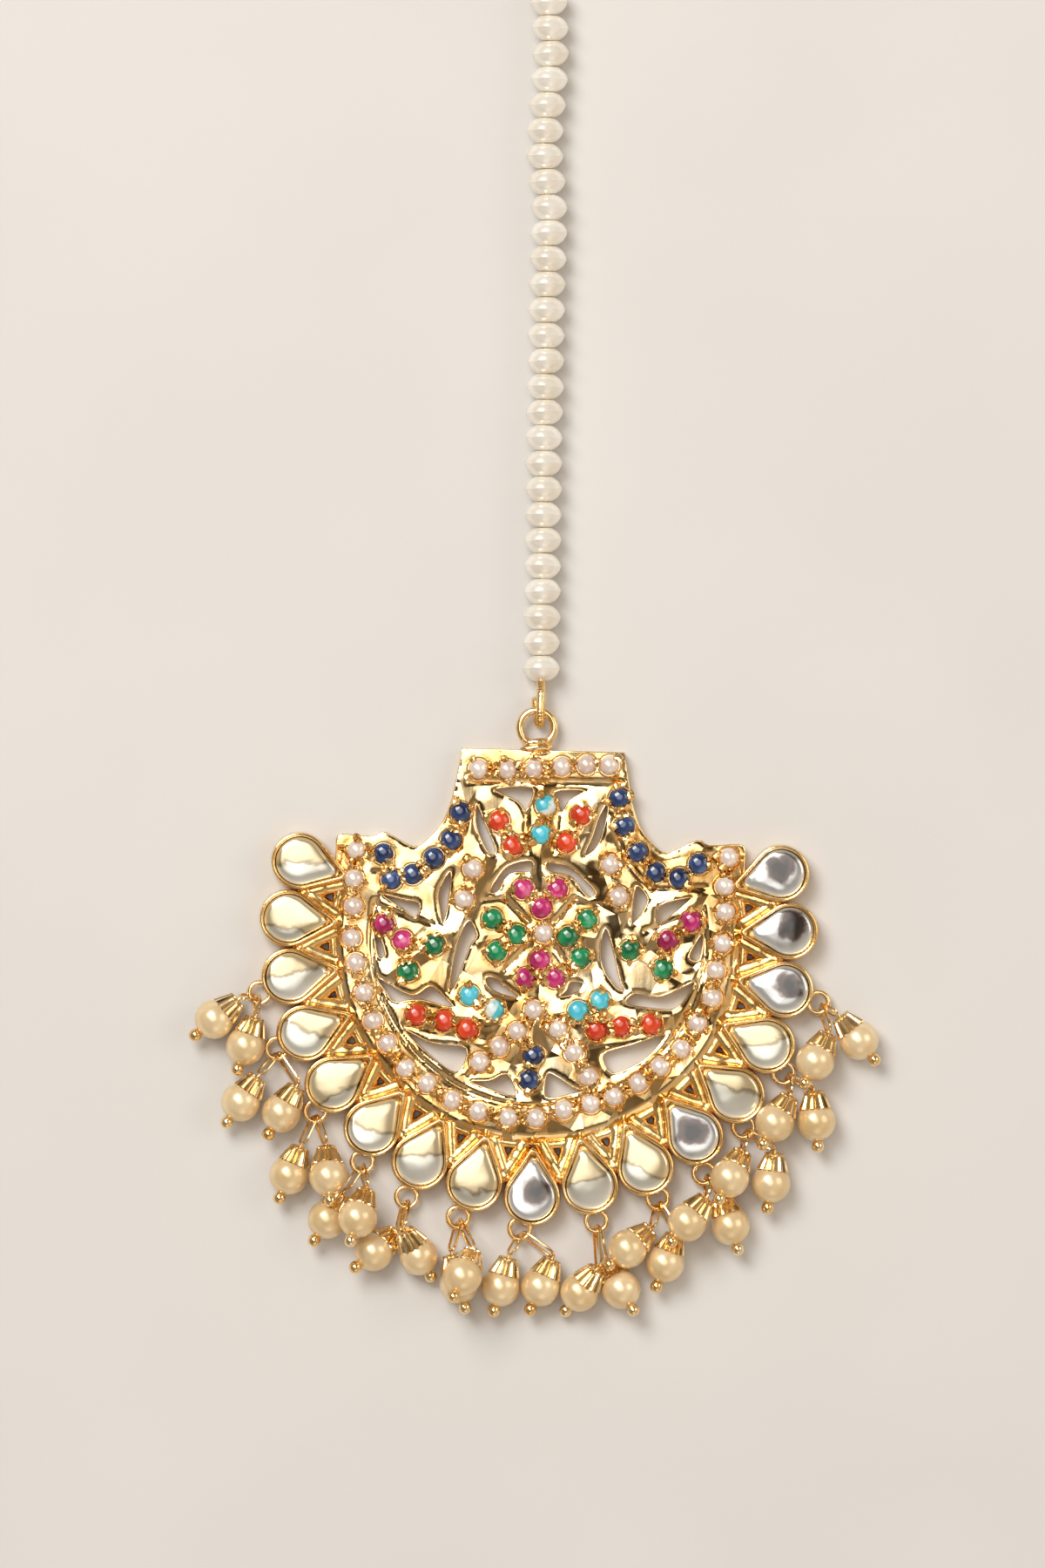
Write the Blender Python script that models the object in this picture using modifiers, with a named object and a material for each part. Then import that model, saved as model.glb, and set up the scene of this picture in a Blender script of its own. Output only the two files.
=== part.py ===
"""A maang tikka laid flat: a pierced gold plate in a fan of teardrop stones, with paired pearl drops and a bead string.

Metres, +Z up. The back of the plate lies on z = 0, the string runs towards +Y and the drops towards -Y.
The origin is the middle of the plate's flat back, under its central flower.
"""

import math

import bmesh
import bpy
from mathutils import Matrix, Vector

MM = 0.001

# The pendant lies turned a little clockwise, as it was put down.
LEAN = math.radians(-1.5)

# Plate: a U-shaped band round a pierced flower panel, with a crown that carries the top ring.
FAN_CENTRE = Vector((0.0, -0.7 * MM))
PLATE_THICKNESS = 1.7 * MM
BAND_OUTER_RADIUS = 20.6 * MM
SIDE_TOP = 9.4 * MM
CROWN_HALF_WIDTH = 8.2 * MM
CROWN_TOP = 18.35 * MM
PATTERN_RADIUS = 20.6 * MM  # the band radius that the pierced pattern and the flank below are drawn for
ARC_STEPS = 22

# Collets: teardrop cups, tips against the band.
COLLET_COUNT = 17
COLLET_STEP = math.radians(13.35)
COLLET_RADIUS = 2.9 * MM
COLLET_TIP_REACH = 5.0 * MM
COLLET_TIP_RADIUS = 0.35 * MM
COLLET_TIP_OVERLAP = 0.2 * MM
COLLET_HEIGHT = 2.6 * MM
COLLET_BACK = 0.05 * MM
COLLET_FLOOR = 1.25 * MM
COLLET_WALL = 0.5 * MM
CENTRE_COLLET_DROP = 0.6 * MM  # the lowest collet sits a little proud of the fan

# Teardrop stones, blunter than their pockets.
STONE_CLEARANCE = 0.1 * MM
STONE_TIP_SHARE = 0.326  # of the stone's radius
STONE_TIP_REACH = 3.3 * MM
STONE_TOP = 2.9 * MM
STONE_CHAMFER = 0.35 * MM

# Webs between the collets, each with a small triangular opening.
WEB_BACK = 0.15 * MM
WEB_TOP = COLLET_FLOOR - 0.05 * MM
WEB_OVERLAP = 0.5 * MM
WEB_SHORT_OF_LOBES = 0.4 * MM
WEB_OPENING_GAP = 0.45 * MM
WEB_OPENING_HALF_WIDTH = 0.95 * MM
WEB_OPENING_DEPTH = 1.9 * MM

# Rings.
DROP_RING_RADIUS = 1.05 * MM
DROP_RING_WIRE = 0.22 * MM
DROP_RING_HEIGHT = COLLET_FLOOR - DROP_RING_WIRE - 0.05 * MM  # the wire enters the solid floor
TOP_RING_RADIUS = 1.75 * MM
TOP_RING_WIRE = 0.4 * MM
TOP_RING_HEIGHT = 1.45 * MM
TOP_RING_OFFSET = -0.7 * MM
TOP_RING_RISE = 2.4 * MM
SOLDER_HALF_WIDTH = 1.5 * MM
SOLDER_THICKNESS = 0.9 * MM

# Drops: a pearl on a headpin with a ball foot and a conical cap, hung by a long wire loop.
PEARL_RADIUS = 2.0 * MM
PIN_RADIUS = 0.15 * MM
PIN_CLEARANCE = 0.12 * MM
SEAT_GAP = 0.12 * MM
BALL_RADIUS = 0.52 * MM
CAP_RADIUS = 1.55 * MM
CAP_TOP_RADIUS = 0.6 * MM
CAP_HEIGHT = 1.05 * MM
CAP_NECK = 0.3 * MM
LOOP_WIRE = 0.15 * MM
LOOP_HALF_WIDTH = 0.7 * MM
LOOP_TILT = math.radians(65)
LOOP_HOLD = 0.17 * MM

# String of beads on a thread.
BEAD_RADIUS = 1.93 * MM
BEAD_WAIST = 0.75 * MM
BEAD_PITCH = 2.587 * MM
BEAD_COUNT = 27
STRING_START = 25.45 * MM
STRING_BORE = 0.56 * MM
STRING_BORE_DEPTH = 1.8 * MM

# Link wire and hair hook.
LINK_WIRE = 0.37 * MM
LINK_CLEARANCE = 0.25 * MM
HOOK_WIRE = 0.4 * MM
HOOK_LENGTH = 12.0 * MM
HOOK_BEND = 2.3 * MM

# Pierced openings, in millimetres, left and right as they were cut by hand.
OPENINGS = {
    "crown_left": ((-4.9, 14.4), (-1.0, 14.7), (-1.6, 12.2), (-2.5, 13.2)),
    "crown_right": ((1.2, 14.3), (4.3, 14.5), (2.8, 13.4), (2.0, 12.2)),
    "slit_left": ((-6.6, 12.9), (-5.7, 11.0), (-4.5, 8.3), (-5.0, 7.7), (-6.0, 9.0), (-6.7, 11.0)),
    "slit_right": ((6.5, 13.2), (6.7, 12.4), (6.1, 9.8), (5.5, 8.5), (4.4, 7.9), (5.2, 10.0), (5.7, 11.7)),
    "crescent_left": (
        (-0.9, 7.3), (-3.2, 6.8), (-4.4, 5.4), (-5.1, 4.0), (-4.2, 4.0), (-3.5, 5.3), (-2.6, 6.0), (-0.9, 6.1),
    ),
    "crescent_right": (
        (0.7, 7.2), (2.8, 6.9), (3.9, 6.1), (5.5, 4.6), (5.6, 3.9), (5.0, 3.7), (4.2, 4.4), (3.0, 5.8), (0.8, 6.2),
    ),
    "wing_left": ((-16.0, 3.5), (-13.8, 3.1), (-12.1, 2.7), (-12.5, 1.1), (-13.9, 2.1)),
    "wing_right": ((12.1, 3.1), (15.3, 4.0), (14.7, 3.2), (12.9, 1.6), (12.0, 1.0)),
    "blade_left": ((-9.0, 6.0), (-9.2, 2.5), (-9.7, 0.6), (-10.2, 2.5), (-10.2, 4.2)),
    "blade_right": ((9.7, 5.0), (11.0, 3.6), (10.0, 1.6), (9.3, 1.4)),
    "wedge_left": ((-16.7, 0.9), (-15.4, -2.5), (-16.3, -2.7)),
    "wedge_right": ((16.6, 0.4), (15.2, -2.0), (16.4, -2.3)),
    "tall_left": ((-7.1, 1.1), (-6.2, -0.4), (-6.9, -1.7), (-8.3, -5.7), (-8.9, -5.7), (-8.3, -1.4)),
    "tall_right": ((6.8, 0.7), (7.6, -1.5), (8.4, -4.6), (8.9, -5.6), (7.9, -5.3), (6.5, -3.3), (6.2, -1.1)),
    "sweep_left": (
        (-16.2, -4.9), (-13.5, -6.3), (-12.2, -6.5), (-10.8, -5.6), (-9.5, -6.5), (-8.5, -7.8),
        (-11.8, -7.1), (-14.3, -7.4), (-15.3, -6.4),
    ),
    "sweep_right": (
        (8.9, -6.9), (9.9, -5.8), (12.2, -6.1), (14.2, -5.3), (15.9, -4.5), (15.2, -6.1), (13.9, -7.4), (10.9, -7.3),
    ),
    "hull_left": ((-13.3, -10.1), (-10.6, -11.3), (-7.0, -11.8), (-8.0, -14.4), (-11.5, -12.0)),
    "hull_right": ((6.8, -12.1), (9.7, -11.0), (13.0, -9.9), (11.7, -12.0), (9.7, -13.4), (7.7, -14.0)),
    "kidney_left": ((-5.2, -4.6), (-4.4, -4.6), (-3.2, -5.4), (-1.8, -6.4), (-2.6, -6.6), (-4.4, -6.0), (-5.2, -5.3)),
    "kidney_right": ((3.3, -4.8), (4.6, -4.9), (4.4, -5.6), (3.5, -6.2), (2.2, -6.4), (2.9, -5.7)),
    "foot_left": ((-6.5, -15.2), (-4.6, -15.0), (-2.8, -14.3), (-1.8, -16.5), (-3.8, -16.2)),
    "foot_right": ((1.2, -14.2), (2.4, -14.5), (4.3, -15.6), (5.7, -15.6), (3.6, -16.3), (1.1, -16.6)),
}

# Right flank of the plate, from the top of its straight side to the crown, in millimetres.
FLANK = ((17.0, 9.2), (15.8, 9.7), (12.9, 8.3), (11.4, 9.1), (9.9, 10.9), (9.0, 13.4), (8.4, 16.7))

# Drops as they were laid by hand, two to a ring. "east" and "north" are the pearl's place from its ring's centre and
# "height" its centre above the floor, all in pearl radii. "ball" is the bearing of its ball foot, anticlockwise from
# +X, and "rise" how far the foot points up, both in degrees.
DROP_COLUMNS = ("ring", "east", "north", "height", "ball", "rise")
DROPS = (
    (0, -2.25, -1.40, 1.00, 221, 0),
    (0, -0.65, -2.70, 1.00, 252, 0),
    (1, -1.75, -2.75, 1.00, 237, 0),
    (1, 0.30, -3.25, 1.00, 241, 0),
    (2, -1.25, -3.25, 1.00, 249, 0),
    (2, 0.75, -3.25, 1.55, 276, 18),
    (3, -1.70, -2.95, 1.00, 240, 0),
    (3, -0.15, -2.80, 2.35, 254, 20),
    (4, -1.60, -2.80, 1.00, 222, 18),
    (4, 0.70, -2.95, 1.00, 301, -18),
    (5, 0.15, -3.35, 1.00, 285, 0),
    (5, 0.30, -2.90, 3.00, 248, 30),
    (6, -0.90, -2.95, 1.00, 256, 0),
    (6, 1.10, -2.90, 1.00, 248, 0),
    (7, -0.75, -3.60, 1.00, 235, -18),
    (7, 1.35, -3.40, 1.00, 302, 18),
    (8, -1.45, -2.55, 1.60, 222, 15),
    (8, 0.45, -3.25, 1.00, 252, 0),
    (9, -0.80, -2.45, 2.00, 233, 5),
    (9, 1.40, -2.60, 1.00, 289, 0),
    (10, -0.65, -2.55, 1.85, 245, 20),
    (10, 1.45, -2.80, 1.00, 264, 0),
    (11, -0.40, -2.50, 1.60, 242, 12),
    (11, 1.70, -2.40, 1.00, 276, 0),
    (12, -0.10, -2.95, 1.45, 246, 12),
    (12, 2.10, -1.85, 1.00, 310, 0),
)

# Each drop ring's place round its collet: how far it is turned from straight outward, in degrees, and how far its
# middle is from the collet's edge, in ring radii.
RING_PLACES = (
    (20, 0.54), (7, 0.34), (22, 0.34), (26, 0.63), (8, 0.90), (-10, 0.90), (-19, 0.52),
    (-2, 0.70), (-4, 0.47), (-25, 0.90), (-39, 0.42), (-34, 0.40), (-10, 0.71),
)

# The string's route, in millimetres: how far it strays sideways along its length.
STRING_ROUTE = ((25.4, 0.25), (37.0, 0.4), (47.0, 0.5), (60.0, 0.75), (73.0, 1.05), (79.0, 0.6), (89.0, 1.2), (96.0, 1.0))

GOLD = ("gold_plate", (0.83, 0.58, 0.24, 1.0), 0.18, 1.0)
CRYSTAL = ("foiled_crystal", (0.86, 0.84, 0.76, 1.0), 0.08, 0.0)
PEARL = ("champagne_pearl", (0.80, 0.66, 0.45, 1.0), 0.28, 0.0)
BEAD = ("ivory_bead", (0.86, 0.82, 0.72, 1.0), 0.3, 0.0)

parts = bpy.data.collections.new("maang_tikka")
guides = bpy.data.collections.new("guides")


def clear_scene():
    """Empties the scene and adds the two collections."""
    for obj in list(bpy.data.objects):
        bpy.data.objects.remove(obj, do_unlink=True)
    bpy.context.scene.collection.children.link(parts)
    bpy.context.scene.collection.children.link(guides)


def material(finish):
    """The Principled material of a finish, made once."""
    name, colour, roughness, metallic = finish
    found = bpy.data.materials.get(name)
    if found:
        return found
    made = bpy.data.materials.new(name)
    made.use_nodes = True
    shader = made.node_tree.nodes["Principled BSDF"]
    shader.inputs["Base Color"].default_value = colour
    shader.inputs["Roughness"].default_value = roughness
    shader.inputs["Metallic"].default_value = metallic
    return made


def add_object(name, data, finish=None, parent=None):
    """Links an object to the parts, or without a finish to the guides."""
    obj = bpy.data.objects.new(name, data)
    (parts if finish else guides).objects.link(obj)
    obj.parent = parent
    if finish:
        data.materials.append(material(finish))
        data.shade_smooth()
        data.set_sharp_from_angle(angle=math.radians(40))
    else:
        obj.hide_render = True
        obj.display_type = "WIRE"
    return obj


def mesh_from(obj, name):
    """The evaluated mesh of a curve or of an object with modifiers, welded; the object is removed."""
    bpy.context.view_layer.update()
    evaluated = obj.evaluated_get(bpy.context.evaluated_depsgraph_get())
    mesh = bpy.data.meshes.new_from_object(evaluated)
    mesh.name = name
    bpy.data.objects.remove(obj, do_unlink=True)
    bm = bmesh.new()
    bm.from_mesh(mesh)
    bmesh.ops.remove_doubles(bm, verts=bm.verts, dist=1e-7)
    bmesh.ops.recalc_face_normals(bm, faces=bm.faces)
    bm.to_mesh(mesh)
    bm.free()
    mesh.materials.clear()
    return mesh


def flat_mesh(name, outlines, low, high, chamfer=0.0):
    """A plate between two heights. The first outline is its edge and the others are its holes."""
    curve = bpy.data.curves.new(name, "CURVE")
    curve.dimensions = "2D"
    curve.fill_mode = "BOTH"
    curve.extrude = (high - low) / 2 - chamfer
    curve.bevel_depth = chamfer
    curve.bevel_resolution = 0
    curve.offset = -chamfer
    for outline in outlines:
        spline = curve.splines.new("POLY")
        spline.points.add(len(outline) - 1)
        for point, place in zip(spline.points, outline):
            point.co = (place[0], place[1], 0.0, 1.0)
        spline.use_cyclic_u = True
    mesh = mesh_from(add_object(name, curve), name)
    mesh.transform(Matrix.Translation((0, 0, (low + high) / 2)))
    return mesh


def tube_mesh(name, points, radius, closed=False, resolution=0):
    """A round wire along a list of points."""
    curve = bpy.data.curves.new(name, "CURVE")
    curve.dimensions = "3D"
    curve.bevel_depth = radius
    curve.bevel_resolution = resolution
    curve.use_fill_caps = True
    spline = curve.splines.new("POLY")
    spline.points.add(len(points) - 1)
    for point, place in zip(spline.points, points):
        point.co = (*place, 1.0)
    spline.use_cyclic_u = closed
    return mesh_from(add_object(name, curve), name)


def turned_mesh(name, profile, sides):
    """A profile of (radius, height) pairs, top to bottom, turned about Z."""
    mesh = bpy.data.meshes.new(name)
    edges = [(i, i + 1) for i in range(len(profile) - 1)]
    mesh.from_pydata([(radius, 0.0, height) for radius, height in profile], edges, [])
    obj = add_object(name, mesh)
    screw = obj.modifiers.new("turn", "SCREW")
    screw.steps = screw.render_steps = sides
    screw.use_merge_vertices = True
    screw.merge_threshold = 1e-6
    return mesh_from(obj, name)


def torus_mesh(name, radius, wire, centre, steps, sides):
    """A flat-lying ring."""
    bpy.ops.mesh.primitive_torus_add(
        major_radius=radius, minor_radius=wire, major_segments=steps, minor_segments=sides, location=(0, 0, 0)
    )
    obj = bpy.context.object
    mesh = obj.data
    mesh.name = name
    bpy.data.objects.remove(obj, do_unlink=True)
    mesh.transform(Matrix.Translation(centre))
    return mesh


def union(name, meshes):
    """One mesh from overlapping ones."""
    base, *others = [add_object(f"{name}_piece_{i}", mesh) for i, mesh in enumerate(meshes)]
    group = bpy.data.collections.new(f"{name}_pieces")
    guides.children.link(group)
    for other in others:
        guides.objects.unlink(other)
        group.objects.link(other)
    join = base.modifiers.new("join", "BOOLEAN")
    join.operation = "UNION"
    join.operand_type = "COLLECTION"
    join.collection = group
    mesh = mesh_from(base, name)
    for other in others:
        bpy.data.objects.remove(other, do_unlink=True)
    bpy.data.collections.remove(group)
    return mesh


def polar(radius, angle):
    """A point at an angle from straight down, anticlockwise as seen from above, about the fan's centre."""
    return FAN_CENTRE + Vector((math.sin(angle), -math.cos(angle))) * radius


def teardrop(radius, tip_radius, tip_reach, round_steps=10, tip_steps=2):
    """A round end at the origin and a narrow end towards +Y, joined by straight sides."""
    tip_centre = tip_reach - tip_radius
    lean = math.asin((radius - tip_radius) / tip_centre)
    outline = []
    for i in range(tip_steps + 1):
        angle = lean + (math.pi - 2 * lean) * i / tip_steps
        outline.append(Vector((math.cos(angle), math.sin(angle))) * tip_radius + Vector((0, tip_centre)))
    for i in range(round_steps + 1):
        angle = math.pi - lean + (math.pi + 2 * lean) * i / round_steps
        outline.append(Vector((math.cos(angle), math.sin(angle))) * radius)
    return outline


def collet_places():
    """For each collet, the matrix that carries a teardrop at the origin to its place in the fan."""
    lobe_radius = BAND_OUTER_RADIUS + COLLET_TIP_REACH - COLLET_TIP_OVERLAP
    places = []
    for i in range(COLLET_COUNT):
        offset = i - COLLET_COUNT // 2
        out = lobe_radius + (CENTRE_COLLET_DROP if offset == 0 else 0.0)
        centre = polar(out, offset * COLLET_STEP)
        turn = Matrix.Rotation(offset * COLLET_STEP, 4, "Z")
        places.append(Matrix.Translation((*centre, 0.0)) @ turn)
    return places


def plate_outline():
    """The band's U, the flanks and the crown."""
    grow = BAND_OUTER_RADIUS / PATTERN_RADIUS
    arc = [polar(BAND_OUTER_RADIUS, -math.pi / 2 + math.pi * i / ARC_STEPS) for i in range(ARC_STEPS + 1)]
    corner = [Vector((BAND_OUTER_RADIUS, SIDE_TOP - 0.5 * MM)), Vector((BAND_OUTER_RADIUS - 0.5 * MM, SIDE_TOP))]
    right = corner + [Vector(point) * MM * grow for point in FLANK] + [Vector((CROWN_HALF_WIDTH, CROWN_TOP))]
    left = [Vector((-point.x, point.y)) for point in reversed(right)]
    return arc + right + left


def plate_mesh():
    grow = BAND_OUTER_RADIUS / PATTERN_RADIUS
    holes = [[Vector(point) * MM * grow for point in outline] for outline in OPENINGS.values()]
    return flat_mesh("plate", [plate_outline()] + holes, 0.0, PLATE_THICKNESS)


def web_mesh():
    """A flat arc behind the collet tips, with a triangular opening between neighbours."""
    reach = (COLLET_COUNT // 2) * COLLET_STEP
    inner = BAND_OUTER_RADIUS - WEB_OVERLAP
    outer = BAND_OUTER_RADIUS + COLLET_TIP_REACH - COLLET_TIP_OVERLAP - WEB_SHORT_OF_LOBES
    steps = COLLET_COUNT * 2
    angles = [-reach + 2 * reach * i / steps for i in range(steps + 1)]
    outline = [polar(outer, angle) for angle in angles] + [polar(inner, angle) for angle in reversed(angles)]
    base = BAND_OUTER_RADIUS + WEB_OPENING_GAP
    holes = []
    for i in range(COLLET_COUNT - 1):
        angle = -reach + (i + 0.5) * COLLET_STEP
        swing = WEB_OPENING_HALF_WIDTH / base
        tip = polar(base + WEB_OPENING_DEPTH, angle)
        holes.append([polar(base, angle - swing), polar(base, angle + swing), tip])
    return flat_mesh("web", [outline] + holes, WEB_BACK, WEB_TOP)


def collet_mesh(place):
    """A cup with a solid floor."""
    outer = teardrop(COLLET_RADIUS, COLLET_TIP_RADIUS, COLLET_TIP_REACH)
    pocket = teardrop(
        COLLET_RADIUS - COLLET_WALL, COLLET_TIP_RADIUS - 0.2 * MM, COLLET_TIP_REACH - 2.2 * COLLET_WALL
    )
    mesh = flat_mesh("collet", [outer], COLLET_BACK, COLLET_HEIGHT)
    body = add_object("collet_body", mesh)
    cutter = add_object("collet_pocket", flat_mesh("pocket", [pocket], COLLET_FLOOR, COLLET_HEIGHT + 1 * MM))
    cut = body.modifiers.new("pocket", "BOOLEAN")
    cut.operation = "DIFFERENCE"
    cut.object = cutter
    cup = mesh_from(body, "collet")
    bpy.data.objects.remove(cutter, do_unlink=True)
    cup.transform(place)
    return cup


def drop_ring_centres():
    """The middles of the drop rings, on the pendant."""
    first = (COLLET_COUNT - len(RING_PLACES)) // 2
    centres = []
    for place, (turn, share) in zip(collet_places()[first:], RING_PLACES):
        reach = COLLET_RADIUS + share * DROP_RING_RADIUS
        outward = Matrix.Rotation(math.radians(turn), 4, "Z") @ Vector((0, -reach, 0))
        centre = place @ outward
        centres.append(Vector((centre.x, centre.y, DROP_RING_HEIGHT)))
    return centres


def top_ring_centre():
    return Vector((TOP_RING_OFFSET, CROWN_TOP + TOP_RING_RISE, TOP_RING_HEIGHT))


def setting_frame_mesh():
    """Plate, webs, collets and rings, soldered into one."""
    pieces = [plate_mesh(), web_mesh()]
    pieces += [collet_mesh(place) for place in collet_places()]
    pieces += [
        torus_mesh(f"ring_{i}", DROP_RING_RADIUS, DROP_RING_WIRE, centre, 12, 4)
        for i, centre in enumerate(drop_ring_centres())
    ]
    ring = top_ring_centre()
    pieces.append(torus_mesh("top_ring", TOP_RING_RADIUS, TOP_RING_WIRE, ring, 16, 6))
    foot = ring.y - TOP_RING_RADIUS
    solder = [
        (ring.x - SOLDER_HALF_WIDTH, CROWN_TOP - 0.4 * MM),
        (ring.x + SOLDER_HALF_WIDTH, CROWN_TOP - 0.4 * MM),
        (ring.x + 0.8 * SOLDER_HALF_WIDTH, foot + 0.2 * MM),
        (ring.x - 0.8 * SOLDER_HALF_WIDTH, foot + 0.2 * MM),
    ]
    low = ring.z - SOLDER_THICKNESS / 2
    pieces.append(flat_mesh("solder", [solder], low, low + SOLDER_THICKNESS))
    return union("setting_frame", pieces)


def stone_mesh():
    """A teardrop stone at the origin, chamfered above and below."""
    radius = COLLET_RADIUS - COLLET_WALL - STONE_CLEARANCE
    outline = teardrop(radius, STONE_TIP_SHARE * radius, STONE_TIP_REACH, round_steps=9)
    return flat_mesh("kundan_stone", [outline], COLLET_FLOOR + STONE_CLEARANCE, STONE_TOP, STONE_CHAMFER)


def pearl_mesh():
    """A drilled pearl about Z."""
    bore = PIN_RADIUS + PIN_CLEARANCE
    rim = math.asin(bore / PEARL_RADIUS)
    bands = 5
    profile = []
    for i in range(bands + 1):
        angle = rim + (math.pi - 2 * rim) * i / bands
        profile.append((PEARL_RADIUS * math.sin(angle), PEARL_RADIUS * math.cos(angle)))
    return turned_mesh("drop_pearl", profile + [profile[0]], 8)


def headpin_length_to_loop():
    """From the pearl's middle to the far end of the hanging loop."""
    return PEARL_RADIUS + SEAT_GAP + CAP_HEIGHT + CAP_NECK


def headpin_mesh():
    """Ball foot, pin and cap about Z, the cap upward and the pearl's middle at the origin."""
    seat = PEARL_RADIUS + SEAT_GAP
    skirt = math.sqrt(seat * seat - (CAP_RADIUS - SEAT_GAP) ** 2)
    inside = CAP_RADIUS * 0.55
    ball = PEARL_RADIUS + SEAT_GAP + BALL_RADIUS
    profile = [
        (0.0, headpin_length_to_loop() + 0.5 * LOOP_WIRE),
        (PIN_RADIUS, headpin_length_to_loop() + 0.5 * LOOP_WIRE),
        (PIN_RADIUS, seat + CAP_HEIGHT),
        (CAP_TOP_RADIUS, seat + CAP_HEIGHT - 0.05 * MM),
        (CAP_RADIUS, skirt + 0.08 * MM),
        (CAP_RADIUS - SEAT_GAP, skirt),
        (inside, math.sqrt(seat * seat - inside * inside) + SEAT_GAP),
        (PIN_RADIUS, seat + SEAT_GAP),
        (PIN_RADIUS, -ball + BALL_RADIUS * 0.95),
        (BALL_RADIUS, -ball + BALL_RADIUS * 0.4),
        (BALL_RADIUS, -ball - BALL_RADIUS * 0.4),
        (0.0, -ball - BALL_RADIUS),
    ]
    return turned_mesh("headpin", profile, 7)


def loop_mesh(start, end):
    """A long closed wire loop between two points, tilted about its length."""
    along = (end - start).normalized()
    side = along.cross(Vector((0, 0, 1))).normalized()
    width = Matrix.Rotation(LOOP_TILT, 3, along) @ side
    points = []
    for centre, turn in ((start + along * LOOP_HALF_WIDTH, math.pi / 2), (end - along * LOOP_HALF_WIDTH, -math.pi / 2)):
        for i in range(5):
            angle = turn + math.pi * i / 4
            points.append(centre + (along * math.cos(angle) + width * math.sin(angle)) * LOOP_HALF_WIDTH)
    return tube_mesh("loop", points, LOOP_WIRE, closed=True)


def drop_layout():
    """Each drop's ring number, pearl centre and the direction from its pearl to its cap."""
    centres = drop_ring_centres()
    drops = []
    for row in DROPS:
        drop = dict(zip(DROP_COLUMNS, row))
        ring = centres[drop["ring"]]
        centre = Vector((ring.x, ring.y, 0)) + Vector((drop["east"], drop["north"], drop["height"])) * PEARL_RADIUS
        bearing = math.radians(drop["ball"])
        rise = math.radians(drop["rise"])
        to_ball = Vector((math.cos(bearing) * math.cos(rise), math.sin(bearing) * math.cos(rise), math.sin(rise)))
        drops.append((drop["ring"], centre, -to_ball))
    return drops


def drop_wires_mesh(ring, pair):
    """The two headpins of a ring with their loops, which touch where they pass through it."""
    ends = [centre + axis * headpin_length_to_loop() for _, centre, axis in pair]
    middle = (ends[0] + ends[1]) / 2
    outward = Vector((middle.x - ring.x, middle.y - ring.y, 0)).normalized()
    reach = DROP_RING_RADIUS - DROP_RING_WIRE - LOOP_WIRE - LOOP_HOLD
    aside = Vector((-outward.y, outward.x, 0)) * LOOP_WIRE * 0.4
    pieces = []
    for (_, centre, axis), end, shift in zip(pair, ends, (-aside, aside)):
        pin = headpin_mesh()
        pin.transform(Matrix.Translation(centre) @ axis.to_track_quat("Z", "Y").to_matrix().to_4x4())
        crossing = ring + outward * DROP_RING_RADIUS
        slope = (end.z - crossing.z) / (end - crossing).length
        hold = ring + shift + outward * reach - Vector((0, 0, slope * (DROP_RING_RADIUS - reach)))
        pieces += [pin, loop_mesh(hold, end)]
    return union("drop_wires", pieces)


def string_x(y):
    """How far the string strays sideways at a place along it, eased between its chosen points."""
    route = [(along * MM, aside * MM) for along, aside in STRING_ROUTE]
    if y <= route[0][0]:
        return route[0][1]
    for (start, first), (end, second) in zip(route, route[1:]):
        if y <= end:
            share = (y - start) / (end - start)
            return first + (second - first) * share * share * (3 - 2 * share)
    return route[-1][1]


def bead_string_mesh():
    """Beads joined along their thread, turned about the string and then bent to its route."""
    end = STRING_START + BEAD_COUNT * BEAD_PITCH
    profile = [(0.0, end - STRING_BORE_DEPTH), (STRING_BORE, end - STRING_BORE_DEPTH), (STRING_BORE, end)]
    for i in reversed(range(BEAD_COUNT)):
        low = STRING_START + i * BEAD_PITCH
        profile += [
            (BEAD_WAIST, low + BEAD_PITCH),
            (BEAD_RADIUS * 0.8, low + BEAD_PITCH * 0.78),
            (BEAD_RADIUS, low + BEAD_PITCH * 0.5),
            (BEAD_RADIUS * 0.8, low + BEAD_PITCH * 0.22),
        ]
    profile += [
        (BEAD_WAIST, STRING_START),
        (STRING_BORE, STRING_START),
        (STRING_BORE, STRING_START + STRING_BORE_DEPTH),
        (0.0, STRING_START + STRING_BORE_DEPTH),
    ]
    mesh = turned_mesh("bead_string", profile, 8)
    mesh.transform(Matrix.Rotation(math.radians(22.5), 4, "Z"))
    mesh.transform(Matrix.Rotation(math.radians(-90), 4, "X"))
    for vertex in mesh.vertices:
        vertex.co.x += string_x(vertex.co.y)
        vertex.co.z += BEAD_RADIUS
    return mesh


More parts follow.
